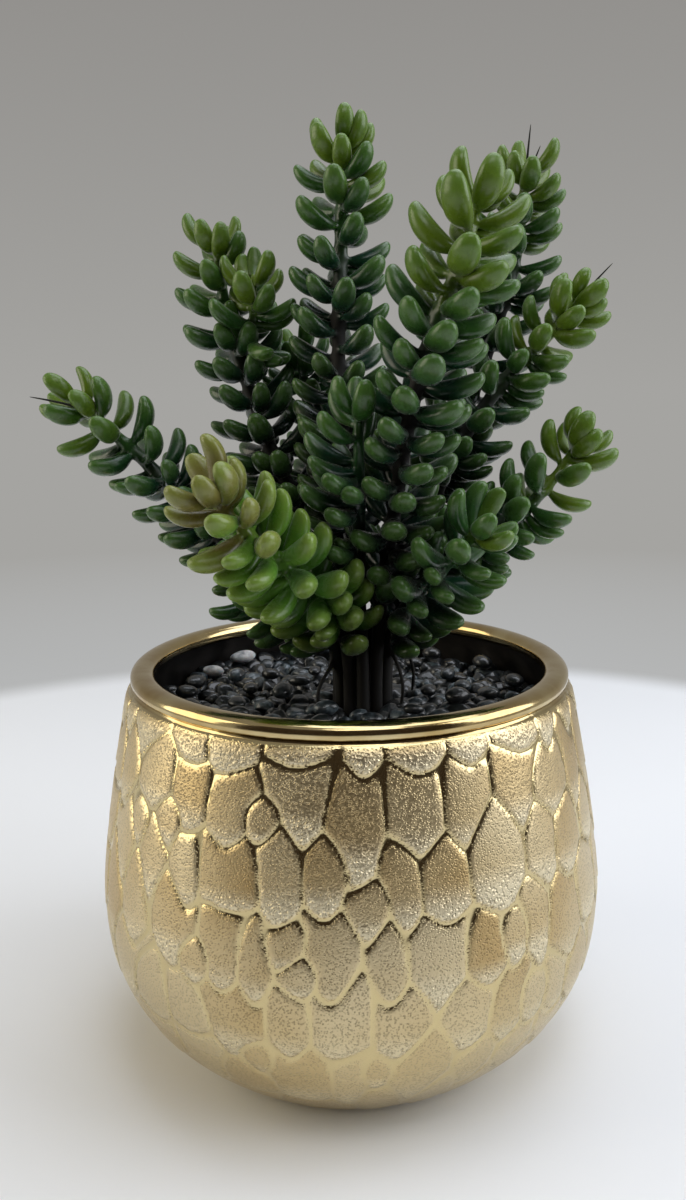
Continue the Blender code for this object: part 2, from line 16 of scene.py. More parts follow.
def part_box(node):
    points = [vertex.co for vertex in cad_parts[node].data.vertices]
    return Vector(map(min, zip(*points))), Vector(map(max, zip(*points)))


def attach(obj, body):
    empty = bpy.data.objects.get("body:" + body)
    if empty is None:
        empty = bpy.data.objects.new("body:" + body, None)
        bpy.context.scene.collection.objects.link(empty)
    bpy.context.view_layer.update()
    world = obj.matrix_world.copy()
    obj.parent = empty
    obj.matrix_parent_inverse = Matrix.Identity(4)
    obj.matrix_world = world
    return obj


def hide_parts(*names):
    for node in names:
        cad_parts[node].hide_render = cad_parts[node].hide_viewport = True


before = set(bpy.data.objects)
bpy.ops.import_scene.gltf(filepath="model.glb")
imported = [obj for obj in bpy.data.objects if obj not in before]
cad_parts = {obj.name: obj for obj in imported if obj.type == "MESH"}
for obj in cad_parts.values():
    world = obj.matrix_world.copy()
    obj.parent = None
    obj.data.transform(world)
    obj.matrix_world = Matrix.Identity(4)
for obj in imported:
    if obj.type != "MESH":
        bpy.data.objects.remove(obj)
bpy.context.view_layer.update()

# %% [markdown]
# ## Helpers
#
# Lengths below are written in millimetres times `MM`, because Blender counts in metres. Colours are
# sRGB hex values, as a paint chart gives them, and one function turns them into the linear light that
# shaders add up.

# %% Units and colours
MM = 0.001


def linear(hex_colour):
    """An sRGB hex colour as linear red, green, blue and alpha."""
    shares = [int(hex_colour[at : at + 2], 16) / 255 for at in (1, 3, 5)]
    return (*[s / 12.92 if s <= 0.04045 else ((s + 0.055) / 1.055) ** 2.4 for s in shares], 1.0)


def per_metre(millimetres):
    """The texture scale that gives a pattern with features of this size."""
    return 1.0 / (millimetres * MM)


print("mid grey #808080 is", round(linear("#808080")[0], 3), "in linear light")
print("a pattern with 2 mm features has the scale", round(per_metre(2.0)))

# %% [markdown]
# One function adds a shader node. Its properties are keywords, and its sockets come in a dictionary,
# where a value is set and a node is linked. A second one starts a material, and a third links what was
# worked out for it to its Principled shader. The sockets of that shader are keywords too, with _ for a
# space.

# %% Shader nodes
def add(tree, kind, sockets=None, stops=None, **properties):
    """Adds one shader node. A socket is named, or numbered where names repeat."""
    node = tree.nodes.new(kind)
    for name, value in properties.items():
        setattr(node, name, value)
    if stops:
        ramp = node.color_ramp
        while len(ramp.elements) < len(stops):
            ramp.elements.new(1.0)
        for element, (position, colour) in zip(ramp.elements, stops):
            element.position = position
            element.color = colour if len(colour) == 4 else linear(colour)
    for name, value in (sockets or {}).items():
        target = node.inputs[name] if isinstance(name, int) else socket_of(node.inputs, name)
        if isinstance(value, bpy.types.Node):
            value = socket_of(value.outputs)
        if isinstance(value, bpy.types.NodeSocket):
            tree.links.new(value, target)
        else:
            target.default_value = value
    return node


def socket_of(sockets, name=None):
    """The first socket in use, or the first one in use that has this name."""
    return next(s for s in sockets if s.enabled and name in (None, s.name))


def start_material(name, **principled):
    """A new material with its Principled shader. Keywords set that shader's sockets."""
    material = bpy.data.materials.new(name)
    material.use_nodes = True
    shader = material.node_tree.nodes["Principled BSDF"]
    for socket, value in principled.items():
        shader.inputs[socket.replace("_", " ")].default_value = value
    return material, material.node_tree, shader


def connect(tree, shader, **sources):
    """Links each given node to the socket of the Principled shader that its keyword names."""
    for socket, source in sources.items():
        tree.links.new(socket_of(source.outputs), shader.inputs[socket.replace("_", " ")])


print("sockets of the Principled shader are set by name, such as Coat_Weight or Base_Color")

# %% [markdown]
# Every piece rides on the object's one body, has the material slot of its real piece, and stands for the
# plain solids that it replaces. A float per point, such as how far a point is onto a scale, goes from the
# mesh to its material as an attribute.

# %% Pieces
def add_number(mesh, name, values):
    """Notes one number per point of a mesh, for its material to read."""
    layer = mesh.attributes.new(name, "FLOAT", "POINT")
    layer.data.foreach_set("value", np.asarray(values, np.float32))


def mesh_of(name, shape):
    """A mesh with the points and faces of a bmesh, which is then let go."""
    mesh = bpy.data.meshes.new(name)
    shape.to_mesh(mesh)
    shape.free()
    return mesh


def round_over(piece):
    """Two levels of subdivision, which turn a coarse cage into a smooth skin."""
    rounding = piece.modifiers.new("rounding", "SUBSURF")
    rounding.levels = 2
    rounding.render_levels = 2


def add_piece(name, mesh, materials, stands_for=()):
    """Puts a mesh in the scene as a piece of the object that rides on its one body."""
    for material in materials:
        mesh.materials.append(material)
    piece = bpy.data.objects.new(name, mesh)
    bpy.context.scene.collection.objects.link(piece)
    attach(piece, "root")
    if stands_for:
        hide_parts(*stands_for)
    return piece


print("material slots come from the packed model's", len(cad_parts), "nodes")


# %% [markdown]
# ## Camera
#
# The view is from a little above the rim, so that the gravel shows as a narrow oval, and close enough
# for the pot to spread towards its belly. A 30 mm lens on a 36 mm sensor gives that perspective. The
# camera has a half-degree roll and a very small sideways shift, as a hand-held one would.

# %% Make the camera
CAMERA_PLACE = (0.0, -290.5 * MM, 193.9 * MM)
LOOKS_DOWN = 0.202
ROLL = -0.009
SIDE_SHIFT = -0.0047

lens = bpy.data.cameras.new("camera")
lens.lens = 30
lens.sensor_width = 36
lens.shift_x = SIDE_SHIFT
camera = bpy.data.objects.new("camera", lens)
bpy.context.scene.collection.objects.link(camera)
aim = Matrix.Rotation(math.pi / 2 - LOOKS_DOWN, 4, "X") @ Matrix.Rotation(ROLL, 4, "Z")
camera.matrix_world = Matrix.Translation(CAMERA_PLACE) @ aim
bpy.context.scene.camera = camera
print(f"camera: {lens.lens:.0f} mm lens, {-CAMERA_PLACE[1] / MM:.0f} mm in front of the pot's axis")

# %% [markdown]
# ## Floor and light
#
# Gold shows what stands round it, so the light is laid out for the pot: a large soft box at each side
# gives the pale flanks, a pale floor lights the belly from below, and a dark curved card behind the
# camera leaves the middle of the pot darker and warmer. A small fill over the camera lights the floor in
# front, which the lower belly mirrors, and a third soft box overhead lifts the leaves. The floor is pale
# where the pot stands. Further off its colour goes to black and it glows with the grey of the room. This
# is painted light that stands in for the dim floor far from the lamps, so that the two run into each
# other with no edge.

# %% Floor
PALE_FLOOR_REACH = 400 * MM
GLOWING_FLOOR_REACH = 445 * MM
FLOOR_RADIUS = 4.0
GREY_SETTLES_AT = 1.6
ROOM_GREY = "#A5A4A1"
ROOM_TOP_GREY = "#92908D"


def add_stage_piece(name, shape, material):
    """A piece of the stage: it's lit and seen, but isn't part of the object."""
    mesh = mesh_of(name, shape)
    mesh.materials.append(material)
    piece = bpy.data.objects.new(name, mesh)
    bpy.context.scene.collection.objects.link(piece)
    return piece


def make_floor():
    material, tree, shader = start_material("matt studio floor, glowing grey far off", Roughness=0.9, Specular_IOR_Level=0.0)
    place = add(tree, "ShaderNodeTexCoord")
    distance = add(tree, "ShaderNodeVectorMath", {0: place.outputs["Object"]}, operation="LENGTH")
    away = add(
        tree,
        "ShaderNodeMapRange",
        {"Value": distance.outputs["Value"], "From Min": PALE_FLOOR_REACH, "From Max": GLOWING_FLOOR_REACH},
        interpolation_type="SMOOTHSTEP",
    )
    tone = add(tree, "ShaderNodeValToRGB", {"Fac": away}, stops=[(0.0, "#ECEEF1"), (1.0, "#000000")])
    # Past the pale part the floor's colour goes to black and it glows grey instead: painted light that stands
    # in for the dim floor far from the lamps.
    far = add(
        tree,
        "ShaderNodeMapRange",
        {"Value": distance.outputs["Value"], "From Min": GLOWING_FLOOR_REACH, "From Max": GREY_SETTLES_AT},
    )
    grey = add(tree, "ShaderNodeValToRGB", {"Fac": far}, stops=[(0.0, "#B4B5B5"), (0.5, ROOM_GREY)])
    connect(tree, shader, Base_Color=tone, Emission_Color=grey, Emission_Strength=away)
    shape = bmesh.new()
    bmesh.ops.create_circle(shape, cap_ends=True, segments=96, radius=FLOOR_RADIUS)
    add_stage_piece("floor", shape, material)
    print(f"floor: pale to {PALE_FLOOR_REACH / MM:.0f} mm from the pot's axis, then the grey of the room")


make_floor()

# %% [markdown]
# ### Soft boxes
#
# Each soft box is a rectangle that glows evenly, as a lamp behind a diffuser does. The bigger it is, the
# softer the edge of its reflection in the gold. The colours are shown plainly, with no film curve, as
# the gold would go grey under one.

# %% Lights
def soft_box(name, place, size, power, tint="#FFFFFF", target=(0.0, 0.0, 110 * MM)):
    """A rectangular area light that faces the plant and isn't seen itself."""
    light = bpy.data.lights.new(name, "AREA")
    light.shape = "RECTANGLE"
    light.size, light.size_y = size
    light.energy = power
    light.color = linear(tint)[:3]
    lamp = bpy.data.objects.new(name, light)
    lamp.location = place
    lamp.rotation_euler = (Vector(target) - Vector(place)).to_track_quat("-Z", "Y").to_euler()
    lamp.visible_camera = False
    bpy.context.scene.collection.objects.link(lamp)


bpy.context.scene.view_settings.view_transform = "Standard"
soft_box("right soft box", (0.85, -0.15, 0.50), (0.7, 0.9), 6.4, "#F6F9FF")
soft_box("left soft box", (-0.85, -0.10, 0.40), (0.6, 0.8), 3.8, "#FFF6E0")
soft_box("front fill", (0.05, -0.30, 0.50), (0.25, 0.15), 0.3, target=(0.0, -0.16, 0.0))
soft_box("top soft box", (0.15, 0.10, 1.0), (0.8, 0.8), 5.0, "#EEF4FF")
print("lights:", *[f"{light.name} {light.energy:.1f} W;" for light in bpy.data.lights])

# %% [markdown]
# ### The room and the card
#
# The room itself is a dim grey all round, a little darker overhead. The card is dark brown, so that what
# the gold mirrors from the front is dark and warm.

# %% Room and card
CARD_RADIUS = 0.52
CARD_HALF_TURN = 52
CARD_FOOT = 0.001
CARD_HEIGHT = 0.6


def make_room_light():
    world = bpy.data.worlds.new("grey room")
    bpy.context.scene.world = world
    world.use_nodes = True
    tree = world.node_tree
    place = add(tree, "ShaderNodeTexCoord")
    height = add(tree, "ShaderNodeSeparateXYZ", {"Vector": place.outputs["Generated"]})
    tone = add(
        tree,
        "ShaderNodeValToRGB",
        {"Fac": height.outputs["Z"]},
        stops=[(0.0, ROOM_GREY), (0.34, ROOM_TOP_GREY)],
    )
    tree.nodes["Background"].inputs["Strength"].default_value = 1.0
    tree.links.new(tone.outputs["Color"], tree.nodes["Background"].inputs["Color"])


def make_dark_card():
    """A curved dark card behind the camera. Only light meets it."""
    material, _, shader = start_material("dark card", Roughness=0.9)
    shader.inputs["Base Color"].default_value = linear("#33261A")
    shape = bmesh.new()
    edges = []
    for turn in np.linspace(math.radians(-CARD_HALF_TURN), math.radians(CARD_HALF_TURN), 25):
        x, y = CARD_RADIUS * math.sin(turn), -CARD_RADIUS * math.cos(turn)
        edges.append([shape.verts.new((x, y, height)) for height in (CARD_FOOT, CARD_HEIGHT)])
    for before, after in zip(edges, edges[1:]):
        shape.faces.new([before[0], after[0], after[1], before[1]])
    add_stage_piece("dark_card", shape, material).visible_camera = False


make_dark_card()
make_room_light()
print(f"card: {CARD_HEIGHT / MM:.0f} mm high, {CARD_RADIUS / MM:.0f} mm from the pot's axis")

# %% [markdown]
# ## The pot
#
# The real pot is one slip-cast shell. Its mould gave it a raised pattern of irregular scales: each has a
# rounded top and draws in to a blunt point below, and narrow smooth channels run between them. A scale
# pattern like that is what a Voronoi diagram gives when the distance to each seed is stretched upwards
# and narrowed below. Modelling it in the mesh, and not only as bump, lets the channels catch the light
# and the outline break up at the sides. The belly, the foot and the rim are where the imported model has
# them, and the scales only sink below that surface.

# %% Pot outline
POT_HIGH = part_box("pot")[1]
POT_HEIGHT = POT_HIGH.z
BELLY_RADIUS = POT_HIGH.x
FOOT_RADIUS = 47 * MM
BELLY_HEIGHT = 52.5 * MM
RIM_RADIUS = 64.4 * MM
LIP_WIDTH = 7 * MM
LIP_HEIGHT = 5 * MM
WALL = 5.5 * MM
FLOOR = 7 * MM
FLOOR_FILLET = 6 * MM
BELOW_BELLY_CURVE = 2.7
ABOVE_BELLY_CURVE = 1.35
GROOVE_DEPTH = 1.1 * MM
GROOVE_HEIGHT = 2.2 * MM
LIP_SQUARENESS = 0.8
AROUND = 600
ROW_SPACING = 0.9 * MM


def pot_radius(height):
    """Outer radius of the pot at a height: full at the belly, drawn in to the foot and to the rim."""
    if height < BELLY_HEIGHT:
        share = (1 - height / BELLY_HEIGHT) ** BELOW_BELLY_CURVE
        return BELLY_RADIUS - (BELLY_RADIUS - FOOT_RADIUS) * share
    share = ((height - BELLY_HEIGHT) / (POT_HEIGHT - BELLY_HEIGHT)) ** ABOVE_BELLY_CURVE
    return BELLY_RADIUS - (BELLY_RADIUS - RIM_RADIUS) * share


def smooth_step(value, low, high):
    share = np.clip((np.asarray(value) - low) / (high - low), 0.0, 1.0)
    return share * share * (3 - 2 * share)


print(f"pot: {POT_HEIGHT / MM:.1f} mm high, {2 * BELLY_RADIUS / MM:.1f} mm at the belly")

# %% [markdown]
# ### Rows of points
#
# The outline is cut into rows: evenly spaced ones up the outer wall, which will carry the scales, a ring
# of rows round the lip, and a few down the plain inside.

# %% Rows up the wall, round the lip and down the inside
def outer_wall_rows():
    """Radius, height and distance from the foot of each row of the outer wall, evenly spaced along it."""
    heights = np.linspace(0.6 * MM, POT_HEIGHT - LIP_HEIGHT, 400)
    radii = np.array([pot_radius(height) for height in heights])
    radii -= GROOVE_DEPTH * smooth_step(heights, heights[-1] - GROOVE_HEIGHT, heights[-1])
    run = np.concatenate([[0.0], np.cumsum(np.hypot(np.diff(radii), np.diff(heights)))])
    even = np.linspace(0.0, run[-1], round(run[-1] / ROW_SPACING))
    return np.interp(even, run, radii), np.interp(even, run, heights), even


def lip_rows():
    """The lip: a band with a nearly flat top, rounded over at both sides."""
    middle = RIM_RADIUS - LIP_WIDTH / 2
    level = POT_HEIGHT - LIP_HEIGHT / 2
    rows = []
    for turn in np.linspace(math.radians(-62), math.radians(236), 17):
        across, up = math.cos(turn), math.sin(turn)
        out = LIP_WIDTH / 2 * math.copysign(abs(across) ** LIP_SQUARENESS, across)
        rise = LIP_HEIGHT / 2 * math.copysign(abs(up) ** LIP_SQUARENESS, up)
        rows.append((middle + out, level + rise))
    return rows


def inner_rows():
    """The inner wall from under the lip to the floor, and the floor."""
    heights = np.linspace(POT_HEIGHT - 2 * LIP_HEIGHT, FLOOR + FLOOR_FILLET, 9)
    rows = [(pot_radius(height) - WALL, height) for height in heights]
    rows.append((rows[-1][0] - FLOOR_FILLET, FLOOR))
    return rows


print(f"outer wall: {outer_wall_rows()[2][-1] / MM:.1f} mm from foot to lip along its curve")


# %% [markdown]
# ### The scale pattern
#
# Seeds are sown in staggered rows round the pot, with their places and sizes shaken up, and a few small
# ones go where there is most room between them, as the real pattern has them. A point on the wall
# belongs to the seed that is nearest by the stretched measure. How much further the second and the third
# nearest are tells how far it is from the channel, and rounds the corners where three scales meet. Three
# numbers per point go on to the material: how far it is onto a scale, how low it lies on it, and a shade
# for each scale.

# %% Sow the scales
SCALE_WIDTH = 14.5 * MM
SCALE_ROW = 18.5 * MM
SCALE_HALF_HEIGHT = 12 * MM
CHANNEL_HALF_WIDTH = 0.3 * MM
FLANK = 0.55 * MM
SCALE_RELIEF = 0.5 * MM
LOWER_END_RISE = 0.2 * MM
CROWN_SHARE = 0.25
SCALE_TAPER = 0.42
SMALL_SCALES = 20
PLACES_TRIED = 60


def roomiest_place(seeds, total_run, radius_at, dice):
    """Of some places drawn at random on the wall, the one that's furthest from every seed."""
    angles = dice.uniform(0.0, 2 * math.pi, PLACES_TRIED)
    runs = dice.uniform(0.12, 0.85, PLACES_TRIED) * total_run
    across = (angles[:, None] - seeds[:, 0] + math.pi) % (2 * math.pi) - math.pi
    across = across * radius_at(runs)[:, None] / seeds[:, 2]
    gap = np.hypot(across, (runs[:, None] - seeds[:, 1]) / seeds[:, 3]).min(axis=1)
    return angles[gap.argmax()], runs[gap.argmax()]


def sow_scales(total_run, radius_at, dice):
    """Rows of seeds: angle, distance from the foot, half width, half height and shade of each."""
    seeds = []
    levels = np.arange(total_run + 0.1 * SCALE_ROW, -SCALE_ROW / 2, -SCALE_ROW)
    for order, level in enumerate(levels):
        count = max(10, round(2 * math.pi * radius_at(level) / SCALE_WIDTH))
        for number in range(count):
            angle = 2 * math.pi * (number + 0.5 * (order % 2) + dice.uniform(-0.24, 0.24)) / count
            run = level + dice.uniform(-0.2, 0.2) * SCALE_ROW * (order > 0)
            half_width = SCALE_WIDTH / 2 * dice.uniform(0.65, 1.35)
            half_height = SCALE_HALF_HEIGHT * dice.uniform(0.75, 1.25)
            seeds.append((angle, run, half_width, half_height, dice.uniform(0.0, 1.0)))
    for _ in range(SMALL_SCALES):
        angle, run = roomiest_place(np.array(seeds), total_run, radius_at, dice)
        sizes = dice.uniform(0.6, 0.8) * SCALE_WIDTH / 2, dice.uniform(0.45, 0.6) * SCALE_HALF_HEIGHT
        seeds.append((angle, run, *sizes, dice.uniform(0.0, 1.0)))
    return np.array(seeds)


print(f"scales: about {SCALE_WIDTH / MM:.1f} mm wide, in rows {SCALE_ROW / MM:.1f} mm apart")

# %% [markdown]
# A scale is narrower below than above, so its measure across shrinks with the height on it. The steps
# from channel to scale are smooth, because glaze and lustre fill every sharp corner.

# %% Measure a row of the wall
def measure_row(angles, radius, run, seeds):
    """How far onto a scale each point of a row is, how low on it, its shade and its crown."""
    across = (angles[:, None] - seeds[None, :, 0] + math.pi) % (2 * math.pi) - math.pi
    across = across * radius
    up = (run - seeds[:, 1]) / seeds[:, 3]
    taper = 1 + SCALE_TAPER * np.clip(up, -1.0, 1.0)
    away = np.hypot(across / (seeds[:, 2] * taper), np.broadcast_to(up, across.shape))
    order = np.argsort(away, axis=1)[:, :3]
    nearest, second, third = np.take_along_axis(away, order, axis=1).T
    owner = order[:, 0]
    to_corner = 1 / np.sqrt(1 / (second - nearest + 1e-6) ** 2 + 1 / (third - nearest + 1e-6) ** 2)
    to_channel = to_corner * seeds[owner, 2] * 0.6
    onto = smooth_step(to_channel, CHANNEL_HALF_WIDTH, CHANNEL_HALF_WIDTH + FLANK)
    low = smooth_step(-up[owner], 0.05, 0.75)
    crown = 1 - np.clip(nearest, 0.0, 1.0) ** 2
    return onto, low, seeds[owner, 4], crown


print(f"channels: {2 * CHANNEL_HALF_WIDTH / MM:.2f} mm wide, {SCALE_RELIEF / MM:.1f} mm deep")


# %% [markdown]
# ### Building the shell
#
# The shell is one profile turned round the axis, written straight into a mesh: rows from the middle of
# the underside, up the outer wall, over the lip and down the inside. The outer wall's points are moved
# in along the surface normal by the depth of the channels. Towards the foot a worn mould gives a
# shallower relief, and there the scales count as less sanded: they are smoother, and paler with more of
# the channel gold, which is partly a painted wash of the pale floor that the lower belly mirrors. So both
# fade out downwards.

# %% Points of the shell
def pot_points(dice):
    angles = np.linspace(0.0, 2 * math.pi, AROUND, endpoint=False)
    around = np.column_stack([np.cos(angles), np.sin(angles)])
    radii, heights, run = outer_wall_rows()
    seeds = sow_scales(run[-1], lambda level: np.interp(level, run, radii), dice)
    normal_out = np.gradient(heights, run)
    normal_up = -np.gradient(radii, run)
    depth_share = 0.3 + 0.7 * smooth_step(heights, 8 * MM, 60 * MM)
    # Towards the foot the scales count as less sanded: smoother, and paler with more of the channel gold,
    # partly a painted wash of the floor's reflection.
    sanded = 0.5 + 0.5 * smooth_step(heights, 12 * MM, 66 * MM)
    fade = smooth_step(run, 0.0, 4 * MM) * (1 - smooth_step(run, run[-1] - 1.5 * MM, run[-1] - 0.3 * MM))
    rows, facts = [], []
    for radius in (FOOT_RADIUS - 12 * MM, FOOT_RADIUS - 3 * MM, FOOT_RADIUS - 0.6 * MM):
        rows.append((np.full(AROUND, radius), np.zeros(AROUND)))
        facts.append(np.zeros((AROUND, 3)))
    for row in range(len(run)):
        onto, low, shade, crown = measure_row(angles, radii[row], run[row], seeds)
        rise = onto * (1 + CROWN_SHARE * crown) * SCALE_RELIEF * depth_share[row]
        rise += onto * low * LOWER_END_RISE
        most = SCALE_RELIEF * depth_share[row] + LOWER_END_RISE
        sunk = (rise - most) * fade[row]
        rows.append((radii[row] + normal_out[row] * sunk, heights[row] + normal_up[row] * sunk))
        shown = onto * fade[row]
        facts.append(np.column_stack([shown * sanded[row], shown * low, shade]))
    first_lip = len(rows)
    for radius, height in lip_rows():
        rows.append((np.full(AROUND, radius), np.full(AROUND, height)))
        facts.append(np.zeros((AROUND, 3)))
    first_inner = len(rows)
    for radius, height in inner_rows():
        rows.append((np.full(AROUND, radius), np.full(AROUND, height)))
        facts.append(np.zeros((AROUND, 3)))
    points = [np.column_stack([around * radius[:, None], height]) for radius, height in rows]
    points = np.vstack([*points, [(0.0, 0.0, 0.0), (0.0, 0.0, FLOOR)]])
    return points, np.vstack([*facts, np.zeros((2, 3))]), len(rows), first_lip, first_inner


print(f"mesh: a point every {2 * math.pi * BELLY_RADIUS / AROUND / MM:.2f} mm round the belly")

# %% [markdown]
# Faces join each row to the next. Those up to the lip get the sanded gold, those of the lip the polished
# one, and the inside its charcoal glaze.

# %% Join the rows into a shell
def pot_faces(row_count):
    side = np.arange(AROUND)
    after = (side + 1) % AROUND
    faces = []
    for row in range(row_count - 1):
        low, high = row * AROUND, (row + 1) * AROUND
        faces.append(np.column_stack([low + side, low + after, high + after, high + side]))
    quads = np.vstack(faces).tolist()
    under, floor = row_count * AROUND, row_count * AROUND + 1
    last = (row_count - 1) * AROUND
    caps = [(under, int(b), int(a)) for a, b in zip(side, after)]
    caps += [(floor, int(last + a), int(last + b)) for a, b in zip(side, after)]
    return quads + caps, len(quads)


def make_pot(materials, dice):
    points, facts, row_count, first_lip, first_inner = pot_points(dice)
    faces, quad_count = pot_faces(row_count)
    mesh = bpy.data.meshes.new("gold_pot")
    mesh.from_pydata(points.tolist(), [], faces)
    row_of = np.arange(quad_count) // AROUND
    finish = np.where(row_of < first_lip - 1, 0, np.where(row_of < first_inner - 1, 1, 2))
    finish = np.concatenate([finish, np.zeros(AROUND, int), np.full(AROUND, 2)])
    mesh.polygons.foreach_set("material_index", finish.astype(np.int32))
    for column, name in enumerate(("onto_scale", "low_on_scale", "scale_shade")):
        add_number(mesh, name, facts[:, column])
    mesh.shade_smooth()
    add_piece("gold_pot", mesh, materials, ["pot"])
    print("gold_pot:", len(mesh.polygons), "faces")


print("two rows make", len(pot_faces(2)[0]) - 2 * AROUND, "faces between them")


# %% [markdown]
# ### Gold lustre, sanded and stippled
#
# The glaze was fired, coated with a thin gold lustre and fired again, so what meets the eye is metal: a
# warm champagne gold. The mould's scales were sanded, which gives a matt, fine grain, and their lower
# ends were struck with a point, which gives rows of small bright pits. The channels stayed glossy, so
# they go dark or bright with what they mirror. Grain and pits are far under a millimetre, so they are
# bump; grain and pores are drawn about twice as coarse as the real ones, or they would not show.

# %% Colour and relief of the lustre
SAND_GRAIN = 0.6
PIT_SPACING = 1.1
PORE_SPACING = 0.65
LUSTRE_CLOUD = 38.0


def lustre_colour(tree, place, onto, low, pore):
    """Gold, differing by scale, paler at struck ends and in channels, with painted shade in the pores."""
    shade = add(tree, "ShaderNodeAttribute", attribute_name="scale_shade").outputs["Fac"]
    cloud = add(
        tree, "ShaderNodeTexNoise", {"Vector": place, "Scale": per_metre(LUSTRE_CLOUD), "Detail": 2.0}
    )
    tint = add(tree, "ShaderNodeMath", {0: shade, 1: 0.35}, operation="MULTIPLY")
    tint = add(tree, "ShaderNodeMath", {0: tint, 1: cloud.outputs["Fac"]}, operation="ADD")
    scale_gold = add(
        tree,
        "ShaderNodeValToRGB",
        {"Fac": tint},
        stops=[(0.35, "#B59B6C"), (0.6, "#C3AE84"), (0.85, "#CEBD98")],
    )
    frosted = add(
        tree,
        "ShaderNodeMix",
        {"Factor": low, "A": scale_gold.outputs["Color"], "B": linear("#DDD0B0")},
        data_type="RGBA",
    )
    gold = add(
        tree,
        "ShaderNodeMix",
        {"Factor": onto, "A": linear("#CDBB8C"), "B": socket_of(frosted.outputs)},
        data_type="RGBA",
    )
    # The pores are darkened in colour: painted shade in their hollows.
    hollow = add(tree, "ShaderNodeMath", {0: pore, 1: onto}, operation="MULTIPLY")
    painted_pore_shade = add(
        tree,
        "ShaderNodeMapRange",
        {"Value": hollow, "From Min": 0.0, "From Max": 1.0, "To Min": 1.05, "To Max": 0.7},
    )
    return add(tree, "ShaderNodeVectorMath", {0: socket_of(gold.outputs), "Scale": painted_pore_shade}, operation="SCALE")


def lustre_relief(tree, place, onto, low, pore):
    """Sanding grain with pores all over a scale, and struck pits at its lower end."""
    grain = add(tree, "ShaderNodeTexNoise", {"Vector": place, "Scale": per_metre(SAND_GRAIN), "Detail": 2.0})
    pits = add(tree, "ShaderNodeTexVoronoi", {"Vector": place, "Scale": per_metre(PIT_SPACING)})
    pit_depth = add(
        tree,
        "ShaderNodeMapRange",
        {"Value": pits.outputs["Distance"], "From Min": 0.15, "From Max": 0.5, "To Min": -1.0, "To Max": 0.0},
        interpolation_type="SMOOTHSTEP",
    )
    pit_depth = add(tree, "ShaderNodeMath", {0: pit_depth, 1: low}, operation="MULTIPLY")
    rough_sand = add(tree, "ShaderNodeMath", {0: grain.outputs["Fac"], 1: pore}, operation="SUBTRACT")
    fine = add(tree, "ShaderNodeMath", {0: rough_sand, 1: onto}, operation="MULTIPLY")
    sanding = add(tree, "ShaderNodeBump", {"Height": fine, "Strength": 0.6, "Distance": 0.2 * MM})
    return add(
        tree,
        "ShaderNodeBump",
        {"Height": pit_depth, "Normal": sanding, "Strength": 0.9, "Distance": 0.35 * MM},
    )


print(f"sanding grain {SAND_GRAIN} mm, pores {PORE_SPACING} mm, struck pits {PIT_SPACING} mm apart")

# %% [markdown]
# The sanded scales are twice as rough as the glossy channels, and their pores are the same in colour, in
# relief and in place, so all three are worked out from one pattern. A pore's darker colour is painted
# shade in its hollow.

# %% Sanded gold
def sanded_gold():
    material, tree, shader = start_material("gold lustre, sanded and stippled", Metallic=1.0)
    place = add(tree, "ShaderNodeTexCoord").outputs["Object"]
    onto = add(tree, "ShaderNodeAttribute", attribute_name="onto_scale").outputs["Fac"]
    low = add(tree, "ShaderNodeAttribute", attribute_name="low_on_scale").outputs["Fac"]
    pores = add(tree, "ShaderNodeTexVoronoi", {"Vector": place, "Scale": per_metre(PORE_SPACING)})
    pore = add(
        tree,
        "ShaderNodeMapRange",
        {"Value": pores.outputs["Distance"], "From Min": 0.2, "From Max": 0.5, "To Min": 1.0, "To Max": 0.0},
        interpolation_type="SMOOTHSTEP",
    )
    rough = add(
        tree,
        "ShaderNodeMapRange",
        {"Value": onto, "From Min": 0.3, "From Max": 0.9, "To Min": 0.17, "To Max": 0.38},
    )
    gold = lustre_colour(tree, place, onto, low, pore)
    relief = lustre_relief(tree, place, onto, low, pore)
    connect(tree, shader, Base_Color=gold, Roughness=rough, Normal=relief)
    return material


gold_on_scales = sanded_gold()
print("material:", gold_on_scales.name)


# %% [markdown]
# The lip was wiped smooth before firing and never sanded. Its gold is the mirror of the pot, with the
# faint waviness that a brushed-on lustre keeps. Inside, the pot has a plain charcoal glaze, satin and
# slightly uneven, which swallows the light.

# %% Lip and inside
def polished_gold():
    material, tree, shader = start_material("gold lustre, polished", Metallic=1.0, Roughness=0.14)
    place = add(tree, "ShaderNodeTexCoord").outputs["Object"]
    cloud = add(tree, "ShaderNodeTexNoise", {"Vector": place, "Scale": per_metre(12), "Detail": 3.0})
    gold = add(
        tree,
        "ShaderNodeValToRGB",
        {"Fac": cloud.outputs["Fac"]},
        stops=[(0.3, "#B59A66"), (0.7, "#D0BE90")],
    )
    wave = add(tree, "ShaderNodeTexNoise", {"Vector": place, "Scale": per_metre(4), "Detail": 1.0})
    bump = add(
        tree,
        "ShaderNodeBump",
        {"Height": wave.outputs["Fac"], "Strength": 0.25, "Distance": 0.2 * MM},
    )
    connect(tree, shader, Base_Color=gold, Normal=bump)
    return material


def charcoal_glaze():
    material, tree, shader = start_material("charcoal glaze", IOR=1.5)
    place = add(tree, "ShaderNodeTexCoord").outputs["Object"]
    cloud = add(tree, "ShaderNodeTexNoise", {"Vector": place, "Scale": per_metre(6), "Detail": 4.0})
    tone = add(
        tree,
        "ShaderNodeValToRGB",
        {"Fac": cloud.outputs["Fac"]},
        stops=[(0.35, "#161413"), (0.7, "#2B2724")],
    )
    rough = add(
        tree,
        "ShaderNodeMapRange",
        {"Value": cloud.outputs["Fac"], "From Min": 0.3, "From Max": 0.7, "To Min": 0.4, "To Max": 0.6},
    )
    connect(tree, shader, Base_Color=tone, Roughness=rough)
    return material


